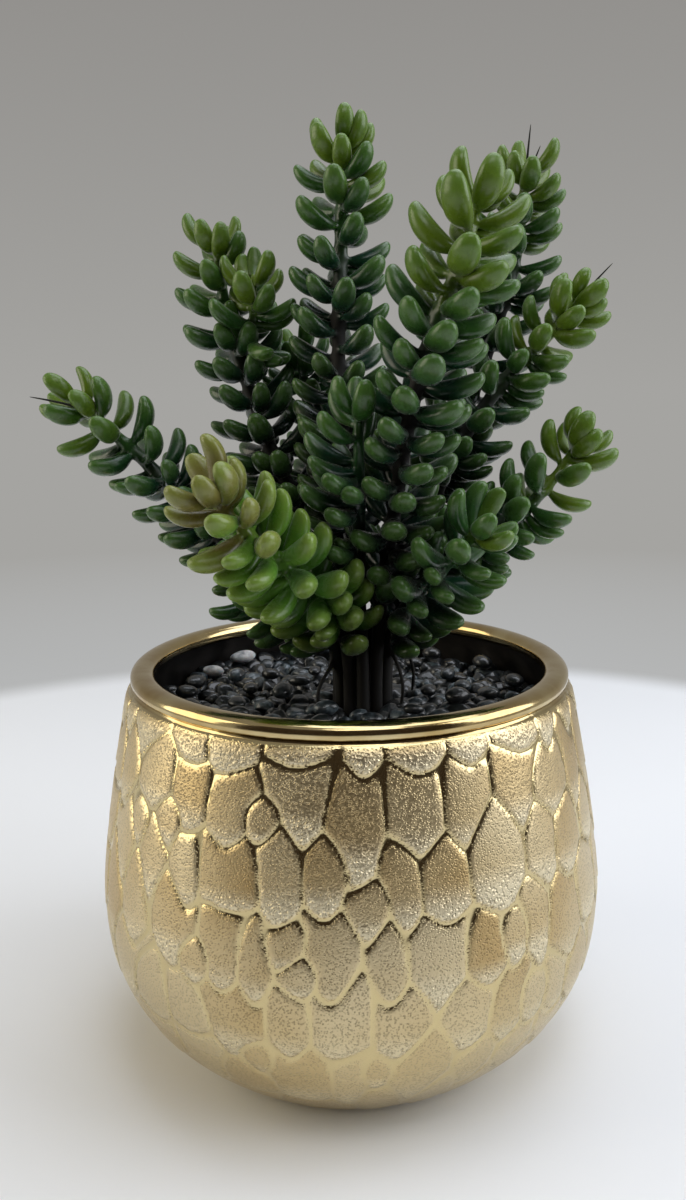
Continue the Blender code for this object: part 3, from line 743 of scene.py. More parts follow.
make_pot([gold_on_scales, polished_gold(), charcoal_glaze()], np.random.default_rng(17))

# %% [markdown]
# ## Gravel
#
# The gravel is tumbled stone, dark grey to black, mostly 6 to 9 mm long, with a wet-looking gloss.
# Tumbling wears a broken lump to soft facets. So a stone here is a fine ball of points from which a few
# planes, set at random, plane most of what stands past them.

# %% One stone
STONE_PLANES = 9
PLANED_SHARE = 0.85


def unit_ball():
    shape = bmesh.new()
    bmesh.ops.create_icosphere(shape, subdivisions=3, radius=1.0)
    points = np.array([vert.co for vert in shape.verts])
    faces = np.array([[vert.index for vert in face.verts] for face in shape.faces])
    shape.free()
    return points, faces


def tumbled(ball, dice):
    """A worn stone of about unit radius."""
    stone = ball.copy()
    for _ in range(STONE_PLANES):
        plane = dice.normal(size=3)
        plane /= np.linalg.norm(plane)
        past = np.clip(stone @ plane - dice.uniform(0.55, 0.9), 0.0, None)
        stone -= past[:, None] * plane * PLANED_SHARE
    return stone


def turn_matrix(dice, tilt):
    yaw = Matrix.Rotation(dice.uniform(0.0, 2 * math.pi), 3, "Z")
    return np.array(yaw @ Matrix.Rotation(dice.uniform(-tilt, tilt), 3, "X"))


print("a stone:", len(unit_ball()[0]), "points, planed", STONE_PLANES, "times")

# %% [markdown]
# ### The bed of stones
#
# Poured gravel lies in a shaken hexagonal order, with a hole where the bundle of stems stands. The top
# layer is one piece of many stones, since nobody takes it apart stone by stone.

# %% Packed gravel
GRAVEL_TOP = POT_HEIGHT - 13 * MM
GRAVEL_SPACING = 5.6 * MM
SHAKEN = 1.1
STONE_LENGTH = (6.0 * MM, 9.4 * MM)
STEM_RADIUS = 1.9 * MM
BUNDLE_CENTRE = (4 * MM, 0.0)
BUNDLE_SLOTS = 11
BUNDLE_GAP = 0.37 * MM
BUNDLE_RING = (STEM_RADIUS + BUNDLE_GAP / 2) / math.sin(math.pi / BUNDLE_SLOTS)
CLEARANCE = 0.3 * MM
HOLE_RADIUS = BUNDLE_RING + STEM_RADIUS + CLEARANCE


def gravel_places(dice):
    """Shaken hexagonal places over the gravel's surface, clear of the stems and the wall."""
    reach = pot_radius(GRAVEL_TOP) - WALL - 2.6 * MM
    steps = int(reach / GRAVEL_SPACING) + 2
    places = []
    for row in range(-steps, steps + 1):
        for column in range(-steps, steps + 1):
            x = (column + 0.5 * (row % 2)) * GRAVEL_SPACING + dice.uniform(-SHAKEN, SHAKEN) * MM
            y = row * GRAVEL_SPACING * math.sqrt(3) / 2 + dice.uniform(-SHAKEN, SHAKEN) * MM
            if math.hypot(x, y) < reach and math.dist((x, y), BUNDLE_CENTRE) > HOLE_RADIUS + 1.2 * MM:
                places.append((x, y))
    return places


def make_gravel(material, dice):
    ball, ball_faces = unit_ball()
    points, faces, shades = [], [], []
    count = 0
    for x, y in gravel_places(dice):
        length = dice.uniform(*STONE_LENGTH)
        size = np.array([length, length * dice.uniform(0.7, 0.95), length * dice.uniform(0.55, 0.8)]) / 2
        stone = (tumbled(ball, dice) * size) @ turn_matrix(dice, 0.6).T
        height = GRAVEL_TOP - size[2] * 0.55 + dice.uniform(-0.9, 0.9) * MM
        points.append(stone + (x, y, height))
        faces.append(ball_faces + count * len(ball))
        shades.append(np.full(len(ball), dice.uniform(0.0, 1.0)))
        count += 1
    mesh = bpy.data.meshes.new("gravel")
    mesh.from_pydata(np.vstack(points).tolist(), [], np.vstack(faces).tolist())
    add_number(mesh, "stone_shade", np.concatenate(shades))
    mesh.shade_smooth()
    add_piece("gravel", mesh, [material], ["gravel_bed"])
    print("gravel:", count, "stones,", len(mesh.polygons), "faces")


print(f"gravel's top: {GRAVEL_TOP / MM:.1f} mm up, with a hole {2 * HOLE_RADIUS / MM:.1f} mm across")

# %% [markdown]
# In the gaps between the stones, more stones in the dark would show. A plain dark ring from the bundle
# to the wall stands for them.

# %% The dark layer under the stones
RING_SIDES = 64
RING_FOOT = -7.5
RING_TOP = -3.2


def make_gravel_under(material):
    outside = pot_radius(GRAVEL_TOP) - WALL - 1 * MM
    shape = bmesh.new()
    rings = []
    corners = [(HOLE_RADIUS, RING_FOOT), (outside, RING_FOOT), (outside, RING_TOP), (HOLE_RADIUS, RING_TOP)]
    for radius, height in corners:
        ring = []
        for side in range(RING_SIDES):
            turn = 2 * math.pi * side / RING_SIDES
            spot = Vector((radius * math.cos(turn), radius * math.sin(turn), GRAVEL_TOP + height * MM))
            if radius == HOLE_RADIUS:
                spot += Vector((*BUNDLE_CENTRE, 0.0))
            ring.append(shape.verts.new(spot))
        rings.append(ring)
    for lower, upper in zip(rings, rings[1:] + rings[:1]):
        for side in range(RING_SIDES):
            after = (side + 1) % RING_SIDES
            shape.faces.new([lower[side], lower[after], upper[after], upper[side]])
    bmesh.ops.recalc_face_normals(shape, faces=shape.faces)
    add_piece("gravel_under", mesh_of("gravel_under", shape), [material])


print(f"dark ring: {RING_TOP - RING_FOOT:.1f} mm thick, with its top {-RING_TOP:.1f} mm under the gravel's")

# %% [markdown]
# ### Loose stones
#
# A few bigger stones lie on top, as they do on any bed that was poured by hand, and two of them are
# white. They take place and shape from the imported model's stones, smoothed by two levels of
# subdivision. Rounding a stone draws it in, so each is first made a little larger.


# %% Loose stones
GROWN_BEFORE_ROUNDING = 1.16


def make_loose_stone(node, material, shade):
    """A loose stone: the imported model's stone, rounded over and grown back to its size."""
    low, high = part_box(node)
    middle = (low + high) / 2
    shape = bmesh.new()
    shape.from_mesh(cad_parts[node].data)
    bmesh.ops.remove_doubles(shape, verts=shape.verts, dist=0.05 * MM)
    for vert in shape.verts:
        vert.co = middle + (vert.co - middle) * GROWN_BEFORE_ROUNDING
    mesh = mesh_of(f"loose_{node}", shape)
    mesh.materials.clear()
    add_number(mesh, "stone_shade", np.full(len(mesh.vertices), shade))
    mesh.shade_smooth()
    round_over(add_piece(f"loose_{node}", mesh, [material], [node]))


print("loose stones to make:", sum("pebble" in node or "stone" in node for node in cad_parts))

# %% [markdown]
# ### Dark stone
#
# The dark stones are basalt or dyed quartz, tumbled and oiled: near-black bodies, a few greyer, and a
# thin gloss that gives small cold highlights. Mottling and pocks have the sizes of real mineral grains.

# %% Dark stone
def wet_stone():
    material, tree, shader = start_material(
        "tumbled basalt, oiled", Coat_Weight=0.7, Coat_Roughness=0.04, IOR=1.45
    )
    place = add(tree, "ShaderNodeTexCoord").outputs["Object"]
    shade = add(tree, "ShaderNodeAttribute", attribute_name="stone_shade").outputs["Fac"]
    mottle = add(tree, "ShaderNodeTexNoise", {"Vector": place, "Scale": per_metre(2.2), "Detail": 5.0})
    both = add(tree, "ShaderNodeMath", {0: shade, 1: mottle.outputs["Fac"]}, operation="MULTIPLY")
    tone = add(
        tree,
        "ShaderNodeValToRGB",
        {"Fac": both},
        stops=[(0.0, "#0A0C0D"), (0.25, "#15191B"), (0.42, "#2B3338"), (0.55, "#5C6970")],
    )
    rough = add(
        tree,
        "ShaderNodeMapRange",
        {"Value": mottle.outputs["Fac"], "From Min": 0.3, "From Max": 0.7, "To Min": 0.3, "To Max": 0.6},
    )
    pocks = add(tree, "ShaderNodeTexNoise", {"Vector": place, "Scale": per_metre(0.9), "Detail": 4.0})
    bump = add(
        tree,
        "ShaderNodeBump",
        {"Height": pocks.outputs["Fac"], "Strength": 0.6, "Distance": 0.35 * MM},
    )
    connect(tree, shader, Base_Color=tone, Roughness=rough, Normal=bump)
    return material


basalt = wet_stone()
make_gravel(basalt, np.random.default_rng(31))
make_gravel_under(basalt)

# %% [markdown]
# ### White stone and potting mix
#
# The white stones are marble, dry and chalky, with grey dust in their hollows. The mix under the gravel
# is damp peat and bark crumbs, dark brown, rough and lumpy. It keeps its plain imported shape, as nothing
# of it shows.

# %% White stone, potting mix and all the loose stones
def white_marble():
    material, tree, shader = start_material(
        "tumbled white marble", Subsurface_Weight=0.1, Subsurface_Scale=1.5 * MM, Roughness=0.6
    )
    place = add(tree, "ShaderNodeTexCoord").outputs["Object"]
    dust = add(tree, "ShaderNodeTexNoise", {"Vector": place, "Scale": per_metre(2.5), "Detail": 6.0})
    tone = add(
        tree,
        "ShaderNodeValToRGB",
        {"Fac": dust.outputs["Fac"]},
        stops=[(0.3, "#6E7377"), (0.5, "#B9BBBB"), (0.7, "#DEDEDB")],
    )
    bump = add(
        tree, "ShaderNodeBump", {"Height": dust.outputs["Fac"], "Strength": 0.8, "Distance": 0.4 * MM}
    )
    connect(tree, shader, Base_Color=tone, Normal=bump)
    return material


def bark_mix():
    material, tree, shader = start_material("peat and bark mix", Roughness=0.95)
    place = add(tree, "ShaderNodeTexCoord").outputs["Object"]
    crumbs = add(tree, "ShaderNodeTexVoronoi", {"Vector": place, "Scale": per_metre(2.5)})
    tone = add(
        tree,
        "ShaderNodeValToRGB",
        {"Fac": crumbs.outputs["Distance"]},
        stops=[(0.0, "#3A2A1E"), (0.6, "#150F0B")],
    )
    bump = add(tree, "ShaderNodeBump", {"Height": crumbs.outputs["Distance"], "Distance": 0.8 * MM})
    connect(tree, shader, Base_Color=tone, Normal=bump)
    return material


loose_dice = np.random.default_rng(8)
marble = white_marble()
for node in sorted(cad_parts):
    if node.startswith("pebble"):
        make_loose_stone(node, basalt, loose_dice.uniform(0.1, 1.0))
    if node.startswith("white_stone"):
        make_loose_stone(node, marble, 1.0)
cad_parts["potting_mix"].data.materials[0] = bark_mix()
print("stone materials:", basalt.name + ";", marble.name)

# %% [markdown]
# ## The plant
#
# Each stem leaves the bundle, follows its own curve, and carries its leaves in a spiral: each leaf stands
# 137.5 degrees round from the one below, which is how plants share out the light. A leaf that would meet
# a neighbour turns a little, lifts, or isn't there. The rule and its random draws are those that set the
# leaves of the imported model, so each of its plain leaves has its full-grown one here. A second round of
# leaves then fills gaps, because a real stem is set more densely than plain solids with clear air
# between them can be. A leaf is drawn out of a face of the stem in six loops, flatter above and fuller
# below, and subdivision rounds stem and leaves as one skin.

# %% Sizes of the plant
SOIL_TOP = GRAVEL_TOP - 8 * MM
HOLE_DEPTH = 16 * MM
COLLAR_ABOVE_GRAVEL = 12 * MM
FIRST_SLOT_TURN = math.radians(8)
TIP_RADIUS = 1.0 * MM
STEM_SIDES = 5
BARE_RING_SPACING = 8 * MM
LEAF_SPACING = 2.2 * MM
TIP_SPACING = 1.3 * MM
TIP_REACH = 12 * MM
LEAF_LENGTH = 13.2 * MM
LEAF_WIDTH = 5.8 * MM
LEAF_THICKNESS = 4.5 * MM
GOLDEN_ANGLE = math.radians(137.508)
FIRST_LEAF_TURN = 1.3
LEAF_PITCH_AT_ROOT = math.radians(82)
LEAF_PITCH_AT_END = math.radians(52)
TIP_PITCH_AT_ROOT = math.radians(50)
TIP_PITCH_AT_END = math.radians(12)
LEAF_CLEARANCE = 0.25 * MM
OWN_LEAF_SQUEEZE = 2.2 * MM
TIP_LEAF_SHARE = 0.85
FILLER_SQUEEZE = 2.3 * MM
FILLER_LENGTH = (0.85, 1.0)
FILLER_SHARE = 0.5
FILLER_TRIES = ((0, 0), (35, 0), (-35, 0))
LEAF_TURN_SPREAD = math.radians(8)
LEAF_LENGTH_SPREAD = (0.9, 1.08)
LEAF_BALLS = ((0.1, 0.5), (0.35, 0.88), (0.62, 1.0), (0.86, 0.78))
LEAF_TRIES = ((0, 0, 1.0), (22, 0, 1.0), (-22, 0, 1.0), (0, 24, 0.95), (0, 30, 0.8), (0, 0, 0.72))
print(f"a leaf: {LEAF_LENGTH / MM:.1f} mm long, {LEAF_WIDTH / MM:.1f} wide, {LEAF_THICKNESS / MM:.1f} thick")

# %% [markdown]
# The stems, with their slots round the bundle, the points that their centre lines pass (in millimetres,
# with heights above the rim), where their leaves begin above the gravel, how big the leaves are, and
# where aerial roots touch down. `fresh` says how light and yellow a stem's leaves are, or how dark where
# it is below nought; on the low and back stems that darkness is partly painted shade. `bristles` are the
# dry hairs near its tip, each with its reach in millimetres.

# %% The stems
STEMS = {
    "stem_front_lime": {
        "slot": 7,
        "crowding": 0.8,
        "route": [(-3, -12, 15), (-10, -23, 25), (-18, -35, 35), (-26, -42, 44), (-34, -46, 54)],
        "bare": 22,
        "leaf": 1.14,
        "fresh": 0.2,
    },
    "stem_front_right": {
        "slot": 9,
        "crowding": 0.9,
        "route": [(10, -12, 26), (13, -22, 49), (16, -30, 71), (21, -35, 91), (29, -37, 111), (32, -36, 123)],
        "bare": 32,
        "leaf": 1.12,
        "fresh": 0.55,
    },
    "stem_centre_front": {
        "slot": 8,
        "route": [(3, -11, 21), (3, -20, 41), (3, -27, 59), (3, -29, 73)],
        "bare": 38,
        "leaf": 1.08,
        "fresh": -0.4,
    },
    "stem_right_front": {
        "slot": 10,
        "route": [(13, -8, 11), (19, -18, 23), (27, -27, 33), (34, -34, 43)],
        "bare": 22,
        "leaf": 1.12,
        "roots": [(15, -10)],
        "fresh": -0.2,
    },
    "stem_centre_tall": {
        "slot": None,
        "route": [(3, -1, 21), (0, -2, 48), (-2, -3, 73), (-2, -3, 98), (-1, -1, 123), (-1, 0, 144)],
        "bare": 34,
        "leaf": 1.0,
        "fresh": 0.15,
    },
    "stem_left_tall": {
        "slot": 4,
        "route": [(-4, 5, 20), (-12, 6, 41), (-21, 8, 58), (-28, 11, 77), (-34, 13, 96), (-38, 15, 121)],
        "bare": 24,
        "leaf": 1.0,
        "fresh": 0.1,
    },
    "stem_left_arching": {
        "slot": 5,
        "route": [(-7, 0, 13), (-18, -3, 22), (-32, -5, 33), (-47, -6, 48), (-60, -6, 62), (-77, -5, 76)],
        "bare": 26,
        "leaf": 1.0,
        "fresh": 0.15,
        "bristles": [(-14, -1, 4)],
    },
    "stem_right_tall": {
        "slot": 2,
        "route": [(10, 8, 19), (22, 11, 41), (35, 16, 69), (43, 19, 91), (50, 20, 115), (53, 20, 142)],
        "bare": 30,
        "leaf": 0.97,
        "fresh": 0.3,
        "bristles": [(1, -1, 15), (4, -3, 12)],
    },
    "stem_right_upper": {
        "slot": 1,
        "route": [(13, 4, 17), (21, 4, 36), (32, 4, 61), (45, 5, 80), (57, 5, 92), (66, 5, 103)],
        "bare": 26,
        "leaf": 0.95,
        "roots": [(19, 3)],
        "fresh": 0.5,
        "bristles": [(11, -2, 13)],
    },
    "stem_right_lower": {
        "slot": 0,
        "route": [(14, -1, 11), (24, -4, 26), (36, -7, 36), (49, -8, 44), (58, -7, 53), (65, -6, 63)],
        "bare": 24,
        "leaf": 1.0,
        "fresh": 0.35,
    },
    "stem_left_low": {
        "slot": 6,
        "route": [(-7, -7, 10), (-17, -12, 17), (-29, -16, 22)],
        "bare": 18,
        "leaf": 1.0,
        "roots": [(-13, -6), (-9, -11)],
        "fresh": -0.6,
    },
    "stem_back": {
        "slot": 3,
        "route": [(0, 9, 25), (-6, 15, 48), (-11, 19, 69), (-14, 21, 90)],
        "bare": 28,
        "leaf": 0.95,
        "fresh": -0.3,
    },
}
SIDE_SHOOT = {
    "grows_from": "stem_left_tall",
    "at": 0.72,
    "elbow": (0.8, 0.8, 0.3),
    "tip": (-26, 4, 110),
    "bare": 4,
    "leaf": 0.95,
    "thinness": 0.8,
}
print("stems:", len(STEMS), "and a side shoot on", SIDE_SHOOT["grows_from"])

# %% [markdown]
# ### Where each leaf stands
#
# A stem's centre line is a smooth curve through its points, with a ring at every leaf. The rings are
# wide apart on the bare foot and crowd towards the tip, where the youngest leaves have not yet been
# spread by growth. Two side directions are carried along the curve without twist.

# %% The centre line and the rings
def smooth_route(points):
    """Fine points on a Catmull-Rom curve through the given ones, and how far along it each lies."""
    points = [np.array(point, float) for point in points]
    ends = [2 * points[0] - points[1]] + points + [2 * points[-1] - points[-2]]
    fine = []
    for a, b, c, d in zip(ends, ends[1:], ends[2:], ends[3:]):
        for t in np.linspace(0.0, 1.0, 24, endpoint=False):
            linear_part = (c - a) * t
            square = (2 * a - 5 * b + 4 * c - d) * t**2
            cube = (3 * b - 3 * c + d - a) * t**3
            fine.append((2 * b + linear_part + square + cube) / 2)
    fine.append(points[-1])
    fine = np.array(fine)
    run = np.concatenate([[0.0], np.cumsum(np.linalg.norm(np.diff(fine, axis=0), axis=1))])
    return fine, run


def station_distances(total, bare, crowding):
    """Distances along a stem where its rings lie: wide apart low down, then a leaf apart, then close."""
    distances = list(np.linspace(0.0, bare, max(2, round(bare / BARE_RING_SPACING) + 1)))
    while distances[-1] < total:
        left = total - distances[-1]
        closeness = min(1.0, left / TIP_REACH)
        distances.append(distances[-1] + (TIP_SPACING + (LEAF_SPACING - TIP_SPACING) * closeness) * crowding)
    return [distance * total / distances[-1] if distance > bare else distance for distance in distances]


def points_at(distances, fine, run):
    return np.array([[np.interp(d, run, fine[:, axis]) for axis in range(3)] for d in distances])


def frames_along(centres):
    """A tangent and two side directions at each centre, carried along without twist."""
    tangents = np.gradient(centres, axis=0)
    tangents /= np.linalg.norm(tangents, axis=1)[:, None]
    side = np.cross(tangents[0], (0.0, 1.0, 0.0))
    frames = []
    for tangent in tangents:
        side = side - tangent * side.dot(tangent)
        side /= np.linalg.norm(side)
        frames.append((tangent, side, np.cross(tangent, side)))
    return frames


rings = station_distances(120 * MM, 30 * MM, 1.0)
print("a stem 120 mm long, bare for 30 mm, has", len(rings), "rings")

# %% [markdown]
# ### One stem, one leaf
#
# A leaf leaves the stem almost square, and its far half turns up to the light. Near the tip, leaves are
# younger: shorter, and still folded upwards round the bud. So the pitch of a leaf at its root and at its
# end both depend on how far below the tip it stands.

# %% A stem and its leaves
class Stem:
    """The rings of one stem and the leaves that grow from its facets."""

    def __init__(self, points, bare, scale, first_turn, crowding=1.0):
        fine, run = smooth_route(points)
        self.length = run[-1]
        distances = station_distances(self.length, bare, crowding)
        self.centres = points_at(distances, fine, run)
        self.bare_line = points_at(np.arange(0.0, self.length, STEM_RADIUS / 2), fine, run)
        self.to_tip = self.length - np.array(distances)
        self.frames = frames_along(self.centres)
        taper = np.clip(self.to_tip / (2 * TIP_REACH), 0.0, 1.0)
        self.radii = TIP_RADIUS + (STEM_RADIUS - TIP_RADIUS) * taper
        self.first_leaf = int(np.searchsorted(distances, bare - 0.01 * MM))
        self.scale = scale
        self.first_turn = first_turn
        self.leaves = {}
        self.hairs = {}

    def facet_towards(self, turn):
        return int(turn // (2 * math.pi / STEM_SIDES)) % STEM_SIDES

    def leaf_at(self, band, turn, length_share, lift):
        """The centre line, side, face and size of a leaf on the band between two rings."""
        tangent, side, cross = self.frames[band]
        outward = side * math.cos(turn) + cross * math.sin(turn)
        sideways = cross * math.cos(turn) - side * math.sin(turn)
        youth = 1 - min(1.0, self.to_tip[band] / TIP_REACH)
        root_pitch = LEAF_PITCH_AT_ROOT + (TIP_PITCH_AT_ROOT - LEAF_PITCH_AT_ROOT) * youth - lift
        end_pitch = LEAF_PITCH_AT_END + (TIP_PITCH_AT_END - LEAF_PITCH_AT_END) * youth - lift
        start = tangent * math.cos(root_pitch) + outward * math.sin(root_pitch)
        finish = tangent * math.cos(end_pitch) + outward * math.sin(end_pitch)
        size = self.scale * (1 - (1 - TIP_LEAF_SHARE) * youth) * length_share
        root = (self.centres[band] + self.centres[band + 1]) / 2 + outward * self.radii[band] * 0.7
        return {
            "root": root,
            "start": start * LEAF_LENGTH * size,
            "bend": (finish - start) * LEAF_LENGTH * size / 2,
            "side": sideways,
            "half_width": LEAF_WIDTH * size / 2,
            "half_thickness": LEAF_THICKNESS * size / 2,
            "facet": self.facet_towards(turn),
            "to_tip": self.to_tip[band],
        }


example = Stem([(0.0, 0.0, 0.0), (0.0, 5 * MM, 50 * MM), (0.0, 0.0, 100 * MM)], 20 * MM, 1.0, 0.0)
print("rings with leaves on an example stem:", len(example.centres) - example.first_leaf)

# %% [markdown]
# ### Keeping leaves apart
#
# Real leaves press against each other and never pass through. Four balls stand for a leaf in this test,
# and one leaf may squeeze those of its own stem a little, as the soft leaves really do.

# %% Balls in a leaf
def on_leaf(leaf, share):
    """A point on a leaf's centre line and the direction it runs in there."""
    point = leaf["root"] + leaf["start"] * share + leaf["bend"] * share**2
    along = leaf["start"] + 2 * leaf["bend"] * share
    return point, along / np.linalg.norm(along)


def leaf_balls(leaf):
    """Four balls that hold a leaf from its neck to its end, as rows of x, y, z and radius."""
    rows = []
    for share, fullness in LEAF_BALLS:
        point, _ = on_leaf(leaf, share)
        rows.append([*point, leaf["half_width"] * fullness])
    return np.array(rows)


def is_clear(balls, others, gap):
    if not len(others):
        return True
    apart = np.linalg.norm(balls[:, None, :3] - others[None, :, :3], axis=2)
    return bool((apart - balls[:, None, 3] - others[None, :, 3]).min() > gap)


example_leaf = example.leaf_at(example.first_leaf, 0.0, 1.0, 0.0)
print("heights of an example leaf's four balls, in mm:", (leaf_balls(example_leaf)[:, 2] / MM).round(1))

# %% [markdown]
# ### Setting the leaves
#
# Leaves are set from the foot of a stem to its tip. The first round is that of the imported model. The
# second one looks at the far side of each band and fills it where a leaf still has room.

# %% Two rounds of leaves
def grow_leaves(stem, own, others, dice):
    """Sets leaves by the golden angle. One that meets a neighbour turns, lifts or stays away."""
    for band in range(stem.first_leaf, len(stem.centres) - 1):
        turn = stem.first_turn + band * GOLDEN_ANGLE + dice.uniform(-LEAF_TURN_SPREAD, LEAF_TURN_SPREAD)
        length_share = dice.uniform(*LEAF_LENGTH_SPREAD)
        for shift, lift, share in LEAF_TRIES:
            tried = (turn + math.radians(shift)) % (2 * math.pi)
            leaf = stem.leaf_at(band, tried, length_share * share, math.radians(lift))
            balls = leaf_balls(leaf)
            if is_clear(balls, others, LEAF_CLEARANCE) and is_clear(balls, own, -OWN_LEAF_SQUEEZE):
                stem.leaves[(band, leaf["facet"])] = leaf
                own = np.vstack([own, balls]) if len(own) else balls
                break
    return own


def fill_gaps(stem, own, others, dice):
    """A second, slightly smaller leaf on each band, wherever one still has room between the first ones."""
    for band in range(stem.first_leaf, len(stem.centres) - 1):
        turn = stem.first_turn + band * GOLDEN_ANGLE + math.pi
        turn += dice.uniform(-LEAF_TURN_SPREAD, LEAF_TURN_SPREAD)
        length_share = dice.uniform(*FILLER_LENGTH)
        if dice.uniform() > FILLER_SHARE:
            continue
        for shift, lift in FILLER_TRIES:
            tried = (turn + math.radians(shift)) % (2 * math.pi)
            leaf = stem.leaf_at(band, tried, length_share, math.radians(lift))
            balls = leaf_balls(leaf)
            is_free = (band, leaf["facet"]) not in stem.leaves
            if is_free and is_clear(balls, others, LEAF_CLEARANCE) and is_clear(balls, own, -FILLER_SQUEEZE):
                stem.leaves[(band, leaf["facet"])] = leaf
                own = np.vstack([own, balls]) if len(own) else balls
                break
    return own


def stem_balls(stem):
    return np.column_stack([stem.bare_line, np.full(len(stem.bare_line), STEM_RADIUS)])


leafless = np.empty((0, 4))
grown = grow_leaves(example, leafless, leafless, np.random.default_rng(1))
print("the example stem alone would carry", len(grown) // len(LEAF_BALLS), "leaves")

# %% [markdown]
# ### Drawing a limb out of the stem
#
# Leaves, aerial roots and bristles are all drawn the same way: from the four corners of a stem facet,
# through loops of four points, to an end. Catmull-Clark subdivision turns a four-point loop into a
# near-perfect oval and is smooth where the limb leaves the stem. The control loops are about a tenth
# larger than the oval that comes out. Each point also carries four numbers for the material: how far
# along the leaf it lies, how old the leaf is, a random tone and how woody it is.

# %% A skin that limbs grow out of
FACE_LAYERS = ("leaf_share", "leaf_age", "leaf_tone", "woody")


class Skin:
    """A bmesh whose points carry the material's numbers."""

    def __init__(self):
        self.shape = bmesh.new()
        self.layers = [self.shape.verts.layers.float.new(name) for name in FACE_LAYERS]

    def point(self, place, facts):
        vert = self.shape.verts.new(place)
        for layer, fact in zip(self.layers, facts):
            vert[layer] = fact
        return vert

    def limb(self, base, rows):
        """Loops of four points out of a facet's corners; the last loop is closed with a face."""
        loop = base
        for corners, facts in rows:
            after = [self.point(corner, facts) for corner in corners]
            for at in range(4):
                following = (at + 1) % 4
                self.shape.faces.new([loop[at], loop[following], after[following], after[at]])
            loop = after
        self.shape.faces.new(loop)


print("numbers on every point of a skin:", *FACE_LAYERS)

# %% [markdown]
# ### The loops of a leaf and of a thin limb
#
# A leaf has a narrow neck, is fullest past its middle and ends bluntly. It sags a little between its
# ends, as a full water bag does, and no two are quite alike. Roots and bristles are thin, so a square
# loop at a few places is enough.

# %% Loops
CAGE_OVER_OVAL = 1.1
PLUMP = (1.08, 1.2)
# Share of the leaf's length, how full it is there.
LEAF_CAGE = ((0.1, 0.47), (0.28, 0.84), (0.5, 1.01), (0.76, 1.0), (0.96, 0.76), (1.09, 0.33))
LEAF_DIP = 0.75 * MM
LEAF_CORNERS = ((-1.0, -1.05), (1.0, -1.05), (0.9, 0.78), (-0.9, 0.78))
HAIR_CORNERS = ((-1, -1), (1, -1), (1, 1), (-1, 1))
AGE_REACH = 80 * MM


def leaf_rows(leaf, dice):
    """The control loops of one leaf, with its own slight bend, plumpness and tone."""
    tone = dice.uniform(0.0, 1.0)
    plump = dice.uniform(*PLUMP)
    sway = leaf["side"] * dice.uniform(-0.5, 0.5) * MM
    age = min(1.0, leaf["to_tip"] / AGE_REACH)
    rows = []
    for share, fullness in LEAF_CAGE:
        centre, along = on_leaf(leaf, share)
        centre = centre + sway * share * share
        up = np.cross(along, leaf["side"])
        centre = centre - up * LEAF_DIP * 4 * share * (1 - share)
        width = leaf["half_width"] * fullness * plump * CAGE_OVER_OVAL
        thickness = leaf["half_thickness"] * fullness * plump * CAGE_OVER_OVAL
        corners = [centre + leaf["side"] * width * u + up * thickness * v for u, v in LEAF_CORNERS]
        rows.append((corners, (share, age, tone, 0.0)))
    return rows


def hair_rows(points, radii, level, facts):
    """Square loops along a thin limb. `level` is a side direction that stays across it."""
    rows = []
    spans = zip([points[0]] + points[:-1], points[1:] + [points[-1]])
    for point, radius, (before, following) in zip(points, radii, spans):
        along = (following - before) / np.linalg.norm(following - before)
        side = level - along * level.dot(along)
        side /= np.linalg.norm(side)
        up = np.cross(along, side)
        rows.append(([point + (side * u + up * v) * radius for u, v in HAIR_CORNERS], facts))
    return rows


print("control points of a leaf:", 4 * len(LEAF_CAGE))

# %% [markdown]
# ### Roots and bristles
#
# Stems that lie low send thin aerial roots down to the gravel, and dry flower stalks leave a bristle or
# two by a tip. A root bows out and comes down steeply. A bristle is nearly straight.

# %% Thin limbs
ROOT_SHARES = (0.12, 0.35, 0.6, 0.85, 1.0)
BRISTLE_SHARES = (0.08, 0.35, 0.7, 1.0)
BRISTLE_SAG = 0.9 * MM


def add_hair(skin, base, points, radii, facts):
    """A thin limb through the given points, out of a stem facet."""
    start = np.mean([vert.co for vert in base], axis=0)
    across = np.array(base[1].co - base[0].co)
    rows = hair_rows([start] + points, [radii[0]] + list(radii), across / np.linalg.norm(across), facts)
    skin.limb(base, rows[1:])


def root_points(start, root):
    """An aerial root bows out from the stem and comes down on the gravel."""
    end = np.array(root["end"])
    points = []
    for share in ROOT_SHARES:
        bow = root["outward"] * root["bow"] * math.sin(math.pi * share)
        points.append(start + (end - start) * share + bow)
    return points


def bristle_points(start, reach):
    """A bristle leans off the stem's tip and curls a little."""
    points = []
    for share in BRISTLE_SHARES:
        sag = np.array([0.0, 0.0, -BRISTLE_SAG]) * share * share
        points.append(start + reach * share + sag)
    return points


print("a root has", len(ROOT_SHARES), "loops and a bristle", len(BRISTLE_SHARES))

# %% [markdown]
# ### The stem itself
#
# A stem has five faces between two rings. Each face carries a leaf, a root, a bristle or nothing, and so
# stem and limbs come out as one closed skin. A stem is green near its tip and turns woody further down.

# %% A whole stem
STEM_CAGE = 1.28
TURNS_WOODY = (14 * MM, 48 * MM)


